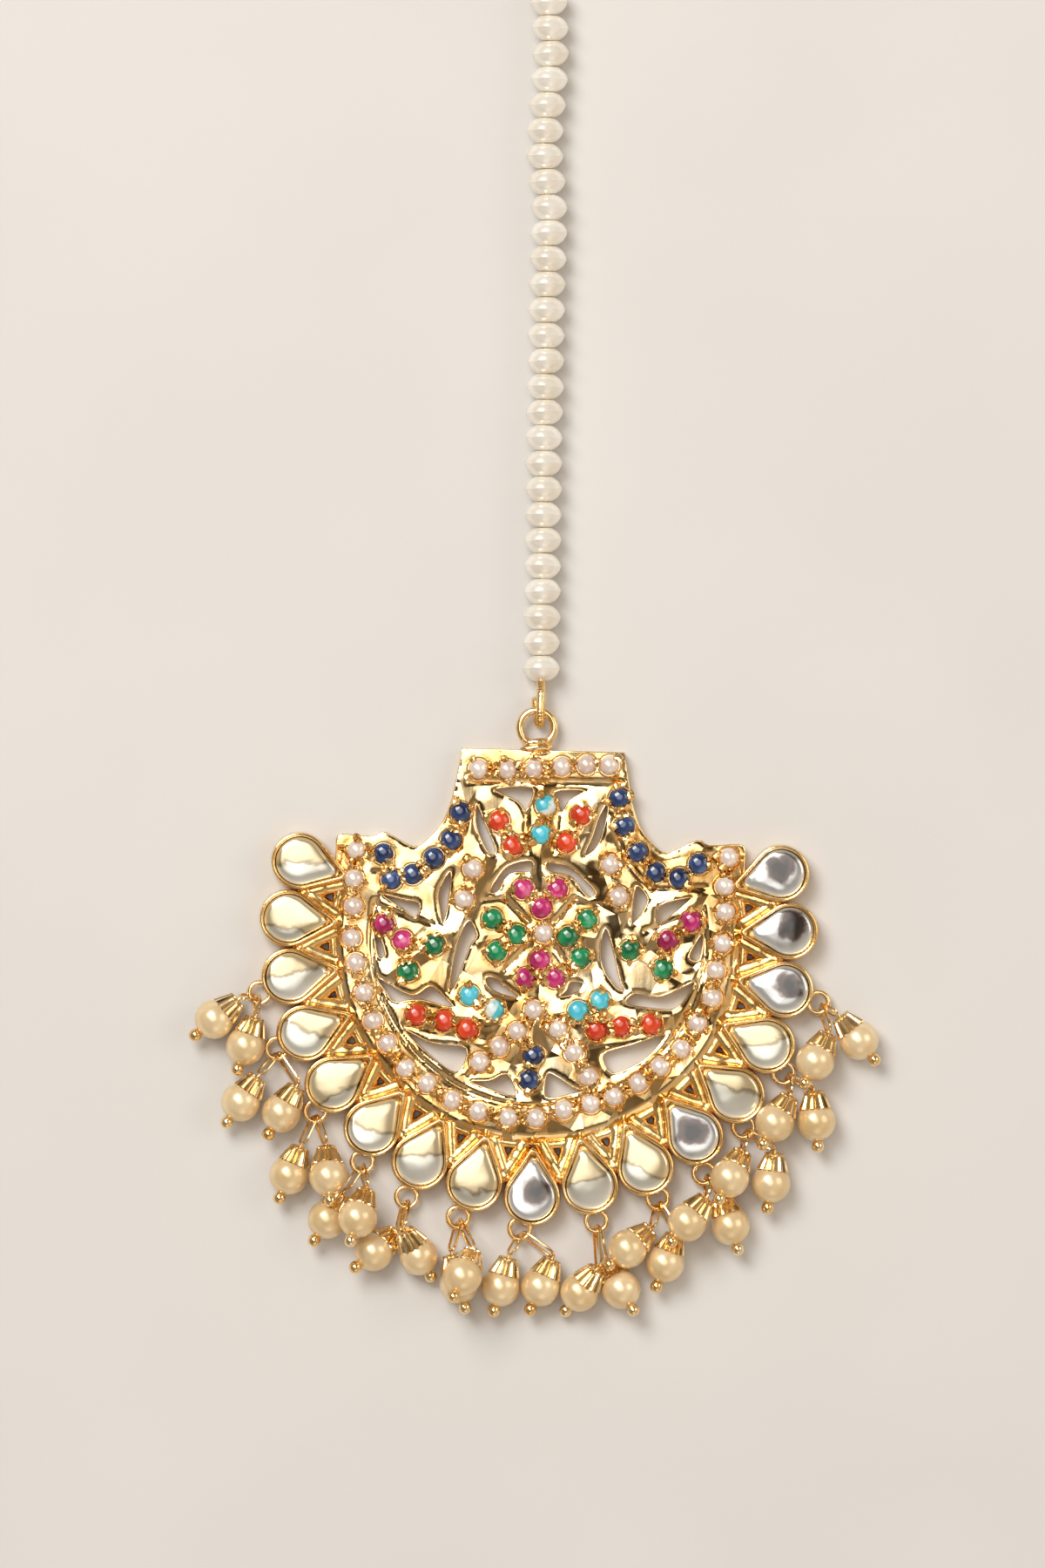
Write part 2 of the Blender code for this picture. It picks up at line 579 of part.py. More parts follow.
def link_wire_mesh():
    """A hairpin from the lowest bead's hole, over the top ring's wire, down through the ring and back under it."""
    ring = Matrix.Rotation(LEAN, 4, "Z") @ top_ring_centre()
    bead_x = string_x(STRING_START)
    over = ring.z + TOP_RING_WIRE + LINK_CLEARANCE + LINK_WIRE
    under = ring.z - TOP_RING_WIRE - LINK_CLEARANCE - LINK_WIRE
    wire_y = ring.y + TOP_RING_RADIUS
    inside = wire_y - TOP_RING_WIRE - LINK_CLEARANCE - LINK_WIRE
    low_x = bead_x - 0.55 * MM
    points = [
        (bead_x, STRING_START + STRING_BORE_DEPTH - 0.3 * MM, BEAD_RADIUS),
        (bead_x, STRING_START - 0.1 * MM, BEAD_RADIUS),
        (bead_x, (STRING_START + wire_y) / 2, (BEAD_RADIUS + over) / 2),
        (bead_x - 0.05 * MM, wire_y, over),
        (bead_x - 0.1 * MM, inside + 0.1 * MM, over - 0.3 * MM),
        (bead_x - 0.15 * MM, inside - 0.2 * MM, ring.z),
        (bead_x - 0.3 * MM, inside + 0.1 * MM, under + 0.3 * MM),
        (low_x + 0.1 * MM, wire_y, under),
        (low_x, STRING_START - 1.6 * MM, under),
        (low_x, STRING_START - 0.6 * MM, under + 0.3 * MM),
    ]
    return tube_mesh("link_wire", points, LINK_WIRE, resolution=1)


def hair_hook_mesh():
    """A plain bent wire at the far end of the string, flat on the surface."""
    start = STRING_START + BEAD_COUNT * BEAD_PITCH
    x = string_x(start)
    points = [
        (x, start - STRING_BORE_DEPTH + 0.3 * MM, BEAD_RADIUS),
        (x, start + 0.2 * MM, BEAD_RADIUS),
        (x, start + 2.0 * MM, BEAD_RADIUS * 0.6),
        (x, start + 3.5 * MM, HOOK_WIRE),
    ]
    bend = start + HOOK_LENGTH - HOOK_BEND
    for i in range(9):
        angle = math.pi - math.pi * i / 8
        points.append((x + HOOK_BEND + HOOK_BEND * math.cos(angle), bend + HOOK_BEND * math.sin(angle), HOOK_WIRE))
    points.append((x + 2 * HOOK_BEND, start + 5.0 * MM, HOOK_WIRE))
    return tube_mesh("hair_hook", points, HOOK_WIRE, resolution=1)


clear_scene()
pendant = bpy.data.objects.new("pendant_lean", None)
parts.objects.link(pendant)
pendant.rotation_euler = (0, 0, LEAN)

add_object("setting_frame", setting_frame_mesh(), GOLD, pendant)

stone = stone_mesh()
for number, place in enumerate(collet_places(), 1):
    add_object(f"kundan_stone_{number:02}", stone, CRYSTAL, pendant).matrix_local = place

pearl = pearl_mesh()
layout = drop_layout()
for number, (_, centre, axis) in enumerate(layout, 1):
    drop_pearl = add_object(f"drop_pearl_{number:02}", pearl, PEARL, pendant)
    drop_pearl.location = centre
    drop_pearl.rotation_mode = "QUATERNION"
    drop_pearl.rotation_quaternion = axis.to_track_quat("Z", "Y")

for number, ring_centre in enumerate(drop_ring_centres()):
    pair = [drop for drop in layout if drop[0] == number]
    add_object(f"drop_wires_{number + 1:02}", drop_wires_mesh(ring_centre, pair), GOLD, pendant)

add_object("bead_string", bead_string_mesh(), BEAD)
add_object("link_wire", link_wire_mesh(), GOLD)
add_object("hair_hook", hair_hook_mesh(), GOLD)
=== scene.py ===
# %% [markdown]
# This lesson dresses a maang tikka, an ornament worn on the forehead. A imported CAD model gives every place
# and size, and the script builds the visible pieces around it: a pierced gold plate, its stones and grains,
# a fan of teardrop stones, the pearl drops, and the string of pearls that holds it. All the drawing is in
# millimetres on the pendant as if it hung straight. One helper then turns it to the way it lies, scales it
# to metres and leaves each piece's place in its mesh.

# %% Load the frame
import math

import bmesh
import bpy
from bmesh.types import BMEdge, BMFace, BMVert
from mathutils import Matrix, Vector, kdtree, noise


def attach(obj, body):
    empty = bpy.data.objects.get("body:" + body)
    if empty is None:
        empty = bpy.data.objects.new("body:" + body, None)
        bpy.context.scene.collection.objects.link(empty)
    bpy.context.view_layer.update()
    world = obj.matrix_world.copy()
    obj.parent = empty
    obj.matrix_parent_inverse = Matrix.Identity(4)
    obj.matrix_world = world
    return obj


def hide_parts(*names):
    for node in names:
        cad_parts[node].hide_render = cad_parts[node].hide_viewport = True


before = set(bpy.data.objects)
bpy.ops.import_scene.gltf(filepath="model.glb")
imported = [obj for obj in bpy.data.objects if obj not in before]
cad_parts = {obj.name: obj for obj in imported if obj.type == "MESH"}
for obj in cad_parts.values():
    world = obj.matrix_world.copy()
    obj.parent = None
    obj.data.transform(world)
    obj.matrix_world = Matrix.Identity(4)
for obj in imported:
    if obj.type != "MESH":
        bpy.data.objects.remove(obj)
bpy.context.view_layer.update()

MM = 0.001
LEAN = Matrix.Rotation(math.radians(-1.5), 4, "Z")
FAN_CENTRE = Vector((0.0, -0.7))
WELD = 1e-4

# %% [markdown]
# A few small helpers carry the whole lesson. The main one turns a finished bmesh into a piece: it lays it
# in place, gives it its finish, and hides the solids of the CAD model that it stands for. Others give a
# place round the fan and a smooth line through points.

# %% Helpers for shapes and pieces
def kept_shape(name, bm):
    """Stores a bmesh as a mesh that can be stamped again and again."""
    mesh = bpy.data.meshes.new(name)
    bm.to_mesh(mesh)
    bm.free()
    return mesh


def only(kind, items):
    """The verts, edges or faces among what a bmesh operator returns."""
    return [item for item in items if isinstance(item, kind)]


def in_scene(name, data):
    """A new object in the scene."""
    obj = bpy.data.objects.new(name, data)
    bpy.context.scene.collection.objects.link(obj)
    return obj


def finish_piece(name, bm, material, nodes=(), leaning=True, sharp=40):
    """Makes a piece from a bmesh drawn in millimetres. Folds of more degrees than sharp stay crisp."""
    if leaning:
        bmesh.ops.transform(bm, matrix=LEAN, verts=bm.verts)
    bmesh.ops.scale(bm, vec=(MM, MM, MM), verts=bm.verts)
    for face in bm.faces:
        face.smooth = True
    mesh = kept_shape(name, bm)
    mesh.materials.append(material)
    if sharp:
        mesh.set_sharp_from_angle(angle=math.radians(sharp))
    piece = in_scene(name, mesh)
    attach(piece, "root")
    if nodes:
        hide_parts(*nodes)
    print(name, "has", len(mesh.polygons), "faces")


def eased(points, closed=False, steps=4):
    """A smooth line through chosen points."""
    count = len(points)
    line = []
    for i in range(count if closed else count - 1):
        if closed:
            a, b, c, d = (points[(i + k) % count] for k in (-1, 0, 1, 2))
        else:
            a, b, c, d = points[max(i - 1, 0)], points[i], points[i + 1], points[min(i + 2, count - 1)]
        for k in range(steps):
            t = k / steps
            square, cube = 2 * a - 5 * b + 4 * c - d, 3 * b - a - 3 * c + d
            line.append(0.5 * (2 * b + (c - a) * t + square * t * t + cube * t**3))
    return line if closed else line + [points[-1]]


def polar(radius, angle):
    """A point at an angle from straight down about the fan's centre."""
    return FAN_CENTRE + Vector((math.sin(angle), -math.cos(angle))) * radius


# %% [markdown]
# The gold is a bright yellow plating over brass. Polished gold shows almost no colour of its own beyond
# what it reflects, so its interest is in small things: a colour that drifts between warm and pale, a
# roughness that changes where it was rubbed, fine scored lines and a slightly uneven surface. Each is a
# noise read on Object coordinates, stretched where it stands for scored lines. Values that are the same
# everywhere sit on the shader's own sockets.

# %% Helpers for materials
def with_sockets(node, **values):
    """Sets some of a node's sockets, whose names are written with underscores."""
    for socket, value in values.items():
        node.inputs[socket.replace("_", " ")].default_value = value
    return node


def new_material(name, roughness, metallic=0.0, **sockets):
    """A Principled material with its even values set on the shader."""
    made = bpy.data.materials.new(name)
    made.use_nodes = True
    with_sockets(made.node_tree.nodes["Principled BSDF"], Roughness=roughness, Metallic=metallic, **sockets)
    return made


def pattern(material, scale, stretch=(1, 1, 1), **values):
    """A noise on Object coordinates, stretched by a Mapping node."""
    nodes, links = material.node_tree.nodes, material.node_tree.links
    place = nodes.new("ShaderNodeTexCoord")
    mapping = with_sockets(nodes.new("ShaderNodeMapping"), Scale=stretch)
    texture = with_sockets(nodes.new("ShaderNodeTexNoise"), Scale=scale, **values)
    links.new(place.outputs["Object"], mapping.inputs["Vector"])
    links.new(mapping.outputs["Vector"], texture.inputs["Vector"])
    return texture


def filled_ramp(nodes, stops):
    """A ramp through (place, colour) stops."""
    ramp = nodes.new("ShaderNodeValToRGB")
    while len(ramp.color_ramp.elements) < len(stops):
        ramp.color_ramp.elements.new(0.5)
    for element, (place, colour) in zip(ramp.color_ramp.elements, stops):
        element.position = place
        element.color = (*colour, 1.0)
    return ramp


def colour_ramp(material, grey, stops):
    """Sets the base colour from a node's grey output, through a ramp."""
    nodes, links = material.node_tree.nodes, material.node_tree.links
    ramp = filled_ramp(nodes, stops)
    links.new(grey.outputs[0], ramp.inputs["Fac"])
    links.new(ramp.outputs["Color"], nodes["Principled BSDF"].inputs["Base Color"])


def roughness_range(material, texture, low, high):
    """Spreads the roughness between two values with a noise, whose greys lie mostly between 0.3 and 0.7."""
    nodes, links = material.node_tree.nodes, material.node_tree.links
    spread = nodes.new("ShaderNodeMapRange")
    with_sockets(spread, From_Min=0.3, From_Max=0.7, To_Min=low, To_Max=high)
    links.new(texture.outputs[0], spread.inputs["Value"])
    links.new(spread.outputs["Result"], nodes["Principled BSDF"].inputs["Roughness"])


def bump(material, texture, depth_mm):
    """Adds a bump over any that the material already has."""
    nodes, links = material.node_tree.nodes, material.node_tree.links
    shader = nodes["Principled BSDF"]
    made = with_sockets(nodes.new("ShaderNodeBump"), Distance=depth_mm * MM, Strength=1.0)
    links.new(texture.outputs[0], made.inputs["Height"])
    if shader.inputs["Normal"].links:
        links.new(shader.inputs["Normal"].links[0].from_socket, made.inputs["Normal"])
    links.new(made.outputs["Normal"], shader.inputs["Normal"])


# %% [markdown]
# Four golds come from one function. They differ in how bright they are, how rough their grain is, and
# whether they are the pale plating of the plate and the wires or the warmer metal of the cups and grains.

# %% Gold finishes
def gold_finish(name, low, high, grain_mm, deep, middle, pale):
    """Plated gold, from mirror bright to worn, with scored lines and a fine grain."""
    made = new_material(name, low, metallic=1.0)
    drift = pattern(made, 260.0, Detail=3.0)
    colour_ramp(made, drift, ((0.32, deep), (0.52, middle), (0.7, pale)))
    rubbed = pattern(made, 700.0, Detail=4.0)
    roughness_range(made, rubbed, low, high)
    scored = pattern(made, 900.0, stretch=(1.0, 0.08, 1.0), Detail=2.0)
    bump(made, scored, 0.012)
    grain = pattern(made, 3200.0, Detail=2.0)
    bump(made, grain, grain_mm)
    return made


plating = ((0.89, 0.56, 0.21), (0.97, 0.71, 0.36), (1.0, 0.81, 0.51))
warm = ((0.80, 0.48, 0.16), (0.92, 0.62, 0.26), (1.0, 0.74, 0.40))
polished_gold = gold_finish("polished_gold", 0.05, 0.13, 0.002, *plating)
collet_gold = gold_finish("collet_gold", 0.16, 0.3, 0.02, *warm)
gritty_gold = gold_finish("gritty_gold", 0.12, 0.24, 0.05, *warm)
wire_gold = gold_finish("wire_gold", 0.1, 0.2, 0.004, *plating)
print("gold finishes:", [m.name for m in (polished_gold, collet_gold, gritty_gold, wire_gold)])

# %% [markdown]
# The plate has a mirror finish where it was burnished, but round the stones the graver that raised the
# grains has left it rough, and the hollow at the foot of each seat is in shade. The plate's mesh will carry
# a value at each point for both, and this finish reads it to dull the mirror there and to paint that shade
# in as a deeper orange colour.

# %% Plate finish
plate_gold = gold_finish("plate_gold", 0.04, 0.12, 0.002, *plating)
nodes, links = plate_gold.node_tree.nodes, plate_gold.node_tree.links
shader = nodes["Principled BSDF"]
rough_and_shade = nodes.new("ShaderNodeAttribute")
rough_and_shade.attribute_name = "graver_rough_and_shade"
shade_tint = nodes.new("ShaderNodeMix")
shade_tint.data_type = "RGBA"
# Painted shade: a deeper orange round the foot of each seat, where the metal is also rough.
shade_tint.inputs["B"].default_value = (0.62, 0.30, 0.06, 1.0)
links.new(rough_and_shade.outputs["Fac"], shade_tint.inputs["Factor"])
links.new(shader.inputs["Base Color"].links[0].from_socket, shade_tint.inputs["A"])
links.new(shade_tint.outputs["Result"], shader.inputs["Base Color"])
dull = nodes.new("ShaderNodeMath")
dull.operation = "MULTIPLY_ADD"
dull.inputs[1].default_value = 0.3
links.new(rough_and_shade.outputs["Fac"], dull.inputs[0])
links.new(shader.inputs["Roughness"].links[0].from_socket, dull.inputs[2])
links.new(dull.outputs["Value"], shader.inputs["Roughness"])
print("plate finish reads", rough_and_shade.attribute_name)

# %% [markdown]
# The small stones are of two kinds. Ruby, emerald and sapphire are dyed glass, so they are deep in colour
# and carry a clear coat. Coral and turquoise are opaque, with a waxy polish and faint paler patches. Each
# is a Principled shader with a coat, and a noise that shifts its colour from stone to stone and within each
# one.

# %% Stone finishes
def stone_finish(name, roughness, stops):
    """A coloured stone whose colour drifts through a few stops."""
    made = new_material(name, roughness, Coat_Weight=1.0, Coat_Roughness=0.04)
    colour_ramp(made, pattern(made, 420.0, Detail=3.0), stops)
    return made


ruby = stone_finish(
    "ruby", 0.12, ((0.35, (0.30, 0.006, 0.07)), (0.6, (0.62, 0.03, 0.20)), (0.75, (0.8, 0.2, 0.36)))
)
emerald = stone_finish(
    "emerald", 0.12, ((0.35, (0.0, 0.12, 0.035)), (0.6, (0.01, 0.30, 0.11)), (0.76, (0.16, 0.55, 0.33)))
)
sapphire = stone_finish(
    "sapphire", 0.12, ((0.35, (0.006, 0.014, 0.06)), (0.6, (0.03, 0.07, 0.21)), (0.76, (0.13, 0.22, 0.40)))
)
coral = stone_finish(
    "coral", 0.2, ((0.35, (0.56, 0.03, 0.006)), (0.62, (0.78, 0.065, 0.01)), (0.8, (0.85, 0.16, 0.06)))
)
turquoise = stone_finish(
    "turquoise", 0.24, ((0.35, (0.05, 0.50, 0.66)), (0.55, (0.10, 0.62, 0.76)), (0.72, (0.55, 0.80, 0.80)))
)
veined_turquoise = stone_finish(
    "veined_turquoise", 0.3,
    ((0.42, (0.06, 0.50, 0.62)), (0.47, (0.55, 0.74, 0.72)), (0.55, (0.80, 0.82, 0.76))),
)
print("stone finishes:", [m.name for m in (ruby, emerald, sapphire, coral, turquoise)])

# %% [markdown]
# A pearl's glow comes from light that goes a little way in and from a soft clear skin over it. Here that is
# a light body colour with a faint drift, a satin roughness and a coat. The seed pearls are whitish pink,
# the drop pearls champagne and the string's beads ivory. A fine noise keeps the skin from looking moulded.

# %% Pearl finishes
def pearl_finish(name, deep, pale, roughness, skin_mm, lustre):
    """A satin pearl with a coat and a fine uneven skin. Its lustre is a little of a metal's reflection."""
    made = new_material(name, roughness, metallic=lustre, Coat_Weight=0.5, Coat_Roughness=0.22)
    drift = pattern(made, 330.0, Detail=3.0)
    colour_ramp(made, drift, ((0.35, deep), (0.65, pale)))
    bump(made, pattern(made, 1500.0, Detail=2.0), skin_mm)
    return made


seed_pearl = pearl_finish("seed_pearl", (0.80, 0.64, 0.56), (0.95, 0.85, 0.78), 0.22, 0.012, 0.3)
champagne_pearl = pearl_finish("champagne_pearl", (0.82, 0.60, 0.31), (0.96, 0.77, 0.48), 0.3, 0.008, 0.4)
ivory_bead = pearl_finish("ivory_bead", (0.91, 0.85, 0.74), (0.99, 0.96, 0.89), 0.29, 0.012, 0.36)
print("pearl finishes:", [m.name for m in (seed_pearl, champagne_pearl, ivory_bead)])

# %% [markdown]
# The big teardrop stones are clear glass over a metal foil. What the eye meets is the foil, seen through
# the polished glass, and the room it mirrors is painted into its colour: a painted reflection, champagne
# above and silvery below, parted by a ragged dark line. Each stone's mesh will carry a value for how far a
# point is from that line, and noise tears it a little. A second finish paints a reflection with a dark heart
# and silver edges, for the few clearer stones.

# %% Foil finishes
def foil_and_reflection_finish(name, stops, torn, fold_mm, metallic):
    """Foil under polished glass, with its reflection of the room painted in as tones that follow the stone's
    own value, torn by noise.
    """
    made = new_material(name, 0.12, metallic=metallic, Coat_Weight=1.0, Coat_Roughness=0.02)
    nodes, links = made.node_tree.nodes, made.node_tree.links
    carried_reflection = nodes.new("ShaderNodeAttribute")
    carried_reflection.attribute_name = "foil_reflection"
    cloudy = pattern(made, 380.0, Detail=3.0, Distortion=0.8)
    # Painted reflection: the tone follows where a point lies on the stone.
    reflection_tone = nodes.new("ShaderNodeMath")
    reflection_tone.operation = "MULTIPLY_ADD"
    reflection_tone.inputs[1].default_value = torn
    links.new(cloudy.outputs[0], reflection_tone.inputs[0])
    links.new(carried_reflection.outputs["Fac"], reflection_tone.inputs[2])
    colour_ramp(made, reflection_tone, stops)
    bump(made, pattern(made, 260.0, Detail=0.5, Distortion=1.0), fold_mm)
    return made


# Painted reflection of the room: champagne and silver, parted by a dark line.
champagne_foil_and_reflection = foil_and_reflection_finish(
    "champagne_foil_and_reflection",
    ((0.2, (0.90, 0.88, 0.80)), (0.44, (0.70, 0.67, 0.55)), (0.485, (0.30, 0.24, 0.15)),
     (0.51, (0.55, 0.42, 0.23)), (0.53, (0.72, 0.58, 0.34)), (0.85, (0.80, 0.68, 0.44))),
    0.3, 0.06, 0.55,
)
# Painted reflection: a dark heart and silver edges.
clear_foil_and_reflection = foil_and_reflection_finish(
    "clear_foil_and_reflection",
    ((0.3, (0.03, 0.025, 0.022)), (0.45, (0.10, 0.07, 0.06)), (0.5, (0.28, 0.24, 0.22)),
     (0.54, (0.52, 0.52, 0.50)), (0.72, (0.80, 0.80, 0.78))),
    0.5, 0.12, 0.6,
)
print("foil finishes:", [champagne_foil_and_reflection.name, clear_foil_and_reflection.name])

# %% [markdown]
# The plate is cut from sheet metal: a U-shaped band round a pierced panel, with a crown above. Its outline
# and its openings are the same as the CAD model's, with their corners eased as a saw and a file leave them.
# A bmesh starts from those points, fills between the outline and its holes, and is pulled down into a thick
# prism.

# %% The plate's outline and openings
BAND_OUTER_RADIUS = 20.6
CROWN_TOP = 18.35
PLATE_TOP = 1.7
FLANK = (
    (20.6, 8.9), (20.1, 9.4), (17.0, 9.2), (15.8, 9.7), (12.9, 8.3), (11.4, 9.1), (9.9, 10.9), (9.0, 13.4),
)
CROWN = ((8.4, 16.7), (8.2, CROWN_TOP))
OPENINGS = (
    ((-4.9, 14.4), (-1.0, 14.7), (-1.6, 12.2), (-2.5, 13.2)),
    ((1.2, 14.3), (4.3, 14.5), (2.8, 13.4), (2.0, 12.2)),
    ((-6.6, 12.9), (-5.7, 11.0), (-4.5, 8.3), (-5.0, 7.7), (-6.0, 9.0), (-6.7, 11.0)),
    ((6.5, 13.2), (6.7, 12.4), (6.1, 9.8), (5.5, 8.5), (4.4, 7.9), (5.2, 10.0), (5.7, 11.7)),
    ((-0.9, 7.3), (-3.2, 6.8), (-4.4, 5.4), (-5.1, 4.0), (-4.2, 4.0), (-3.5, 5.3), (-2.6, 6.0), (-0.9, 6.1)),
    (
        (0.7, 7.2), (2.8, 6.9), (3.9, 6.1), (5.5, 4.6), (5.6, 3.9), (5.0, 3.7), (4.2, 4.4), (3.0, 5.8),
        (0.8, 6.2),
    ),
    ((-16.0, 3.5), (-13.8, 3.1), (-12.1, 2.7), (-12.5, 1.1), (-13.9, 2.1)),
    ((12.1, 3.1), (15.3, 4.0), (14.7, 3.2), (12.9, 1.6), (12.0, 1.0)),
    ((-9.0, 6.0), (-9.2, 2.5), (-9.7, 0.6), (-10.2, 2.5), (-10.2, 4.2)),
    ((9.7, 5.0), (11.0, 3.6), (10.0, 1.6), (9.3, 1.4)),
    ((-16.7, 0.9), (-15.4, -2.5), (-16.3, -2.7)),
    ((16.6, 0.4), (15.2, -2.0), (16.4, -2.3)),
    ((-7.1, 1.1), (-6.2, -0.4), (-6.9, -1.7), (-8.3, -5.7), (-8.9, -5.7), (-8.3, -1.4)),
    ((6.8, 0.7), (7.6, -1.5), (8.4, -4.6), (8.9, -5.6), (7.9, -5.3), (6.5, -3.3), (6.2, -1.1)),
    (
        (-16.2, -4.9), (-13.5, -6.3), (-12.2, -6.5), (-10.8, -5.6), (-9.5, -6.5), (-8.5, -7.8),
        (-11.8, -7.1), (-14.3, -7.4), (-15.3, -6.4),
    ),
    (
        (8.9, -6.9), (9.9, -5.8), (12.2, -6.1), (14.2, -5.3), (15.9, -4.5), (15.2, -6.1), (13.9, -7.4),
        (10.9, -7.3),
    ),
    ((-13.3, -10.1), (-10.6, -11.3), (-7.0, -11.8), (-8.0, -14.4), (-11.5, -12.0)),
    ((6.8, -12.1), (9.7, -11.0), (13.0, -9.9), (11.7, -12.0), (9.7, -13.4), (7.7, -14.0)),
    ((-5.2, -4.6), (-4.4, -4.6), (-3.2, -5.4), (-1.8, -6.4), (-2.6, -6.6), (-4.4, -6.0), (-5.2, -5.3)),
    ((3.3, -4.8), (4.6, -4.9), (4.4, -5.6), (3.5, -6.2), (2.2, -6.4), (2.9, -5.7)),
    ((-6.5, -15.2), (-4.6, -15.0), (-2.8, -14.3), (-1.8, -16.5), (-3.8, -16.2)),
    ((1.2, -14.2), (2.4, -14.5), (4.3, -15.6), (5.7, -15.6), (3.6, -16.3), (1.1, -16.6)),
)


def plate_outline():
    """The band's U, the flanks and the crown."""
    arc = [polar(BAND_OUTER_RADIUS, -math.pi / 2 + math.pi * i / 60) for i in range(61)]
    flank = eased([Vector(point) for point in FLANK], steps=3) + [Vector(point) for point in CROWN]
    return arc + flank + [Vector((-point.x, point.y)) for point in reversed(flank)]


edge_lines = [plate_outline()] + [eased([Vector(p) for p in opening], closed=True) for opening in OPENINGS]


def prism(outlines, height):
    """Fills between an outline and its holes, and pulls the sheet up to a height."""
    bm = bmesh.new()
    edges = []
    for outline in outlines:
        verts = [bm.verts.new((point.x, point.y, 0.0)) for point in outline]
        edges += [bm.edges.new((verts[i - 1], verts[i])) for i in range(len(verts))]
    bmesh.ops.triangle_fill(bm, edges=edges, use_beauty=True, use_dissolve=False)
    walls = bmesh.ops.extrude_face_region(bm, geom=bm.faces[:], use_keep_orig=True)
    bmesh.ops.translate(bm, vec=(0, 0, height), verts=only(BMVert, walls["geom"]))
    bmesh.ops.recalc_face_normals(bm, faces=bm.faces)
    return bm


print("the plate has", len(OPENINGS), "openings")

# %% [markdown]
# The stones' places come next, because the setter's graver roughens the metal round each seat and shade is
# painted there. They are set by hand, so left and right differ a little. The pearls of the band follow its
# curve, the sapphires run along the flanks, and the flower in the middle has a pearl with petals of rubies
# and emeralds.

# %% Places of the small stones
BAND_PEARLS = (
    (-18.6, 7.9), (-18.8, 5.0), (-18.8, 2.2), (-18.9, -1.0), (-18.4, -3.5), (-17.5, -6.5), (-16.5, -9.3),
    (-15.0, -11.5), (-13.1, -14.0), (-10.9, -15.5), (-8.3, -17.1), (-5.6, -18.2), (-2.6, -18.7),
    (0.2, -18.7), (3.0, -17.8), (5.7, -17.1), (8.1, -16.3), (10.5, -14.9), (12.6, -13.2), (14.8, -11.3),
    (16.3, -8.7), (17.7, -6.1), (18.0, -3.3), (18.6, -0.6), (18.8, 2.6), (18.7, 5.2), (19.0, 8.1),
)
CROWN_PEARLS = ((-6.5, 16.4), (-3.6, 16.4), (-0.9, 16.6), (1.9, 16.85), (4.4, 17.1), (6.7, 17.1))
PANEL_PEARLS = (
    (-6.8, 6.3), (-7.6, 3.2), (-1.9, -10.0), (-3.7, -11.6), (-5.6, -13.2), (7.1, 7.1), (8.0, 3.9),
    (2.2, -9.6), (3.9, -12.0), (5.4, -14.4), (0.5, 0.0), (-0.3, -7.8),
)
SAPPHIRES = (
    (-8.2, 12.0), (-9.1, 9.2), (-10.8, 7.3), (-12.9, 5.6), (-15.0, 5.0), (-15.9, 7.6), (7.8, 13.8),
    (8.4, 11.0), (9.8, 8.4), (11.7, 6.4), (14.1, 5.9), (16.0, 7.4), (-0.2, -12.4), (-0.6, -14.9),
)
CORALS = (
    (-4.3, 11.2), (-2.8, 8.8), (-12.1, -8.6), (-9.3, -9.1), (-6.9, -9.9), (4.0, 12.0), (2.6, 9.2),
    (11.6, -8.9), (8.6, -9.2), (6.1, -9.6),
)
TURQUOISES = ((-6.8, -6.5), (6.4, -6.7), (4.2, -7.8), (0.0, 10.0), (-4.3, -7.9), (0.4, 12.9))
RUBIES = (
    (-1.7, 4.4), (-1.2, -4.6), (-15.6, 0.5), (-13.7, -1.1), (1.8, 4.5), (1.8, -4.5), (15.4, 1.6),
    (13.1, -0.4), (0.2, 2.5), (0.2, -2.7),
)
EMERALDS = (
    (-4.7, 1.3), (-2.2, -0.2), (-4.2, -2.0), (-10.5, -1.5), (-13.1, -4.2), (4.9, 1.5), (3.0, -0.3),
    (4.3, -2.4), (9.3, -1.5), (12.7, -3.3),
)
PEARL_PLACES = BAND_PEARLS + CROWN_PEARLS + PANEL_PEARLS
STONE_PLACES = SAPPHIRES + CORALS + TURQUOISES + RUBIES + EMERALDS
ALL_PLACES = PEARL_PLACES + STONE_PLACES
print(len(PEARL_PLACES), "seed pearls and", len(STONE_PLACES), "coloured stones")

# %% [markdown]
# A plate like this isn't flat between its openings. Each petal and leaf was pressed up a little and its
# edges filed round, and a graver cut bright lines along them. A crease here has two ends and a lift: a wide
# ridge if it is above zero, or else a narrow groove. A fold is a set of lines across the plate, with their
# bearing, spacing, offset and slope.

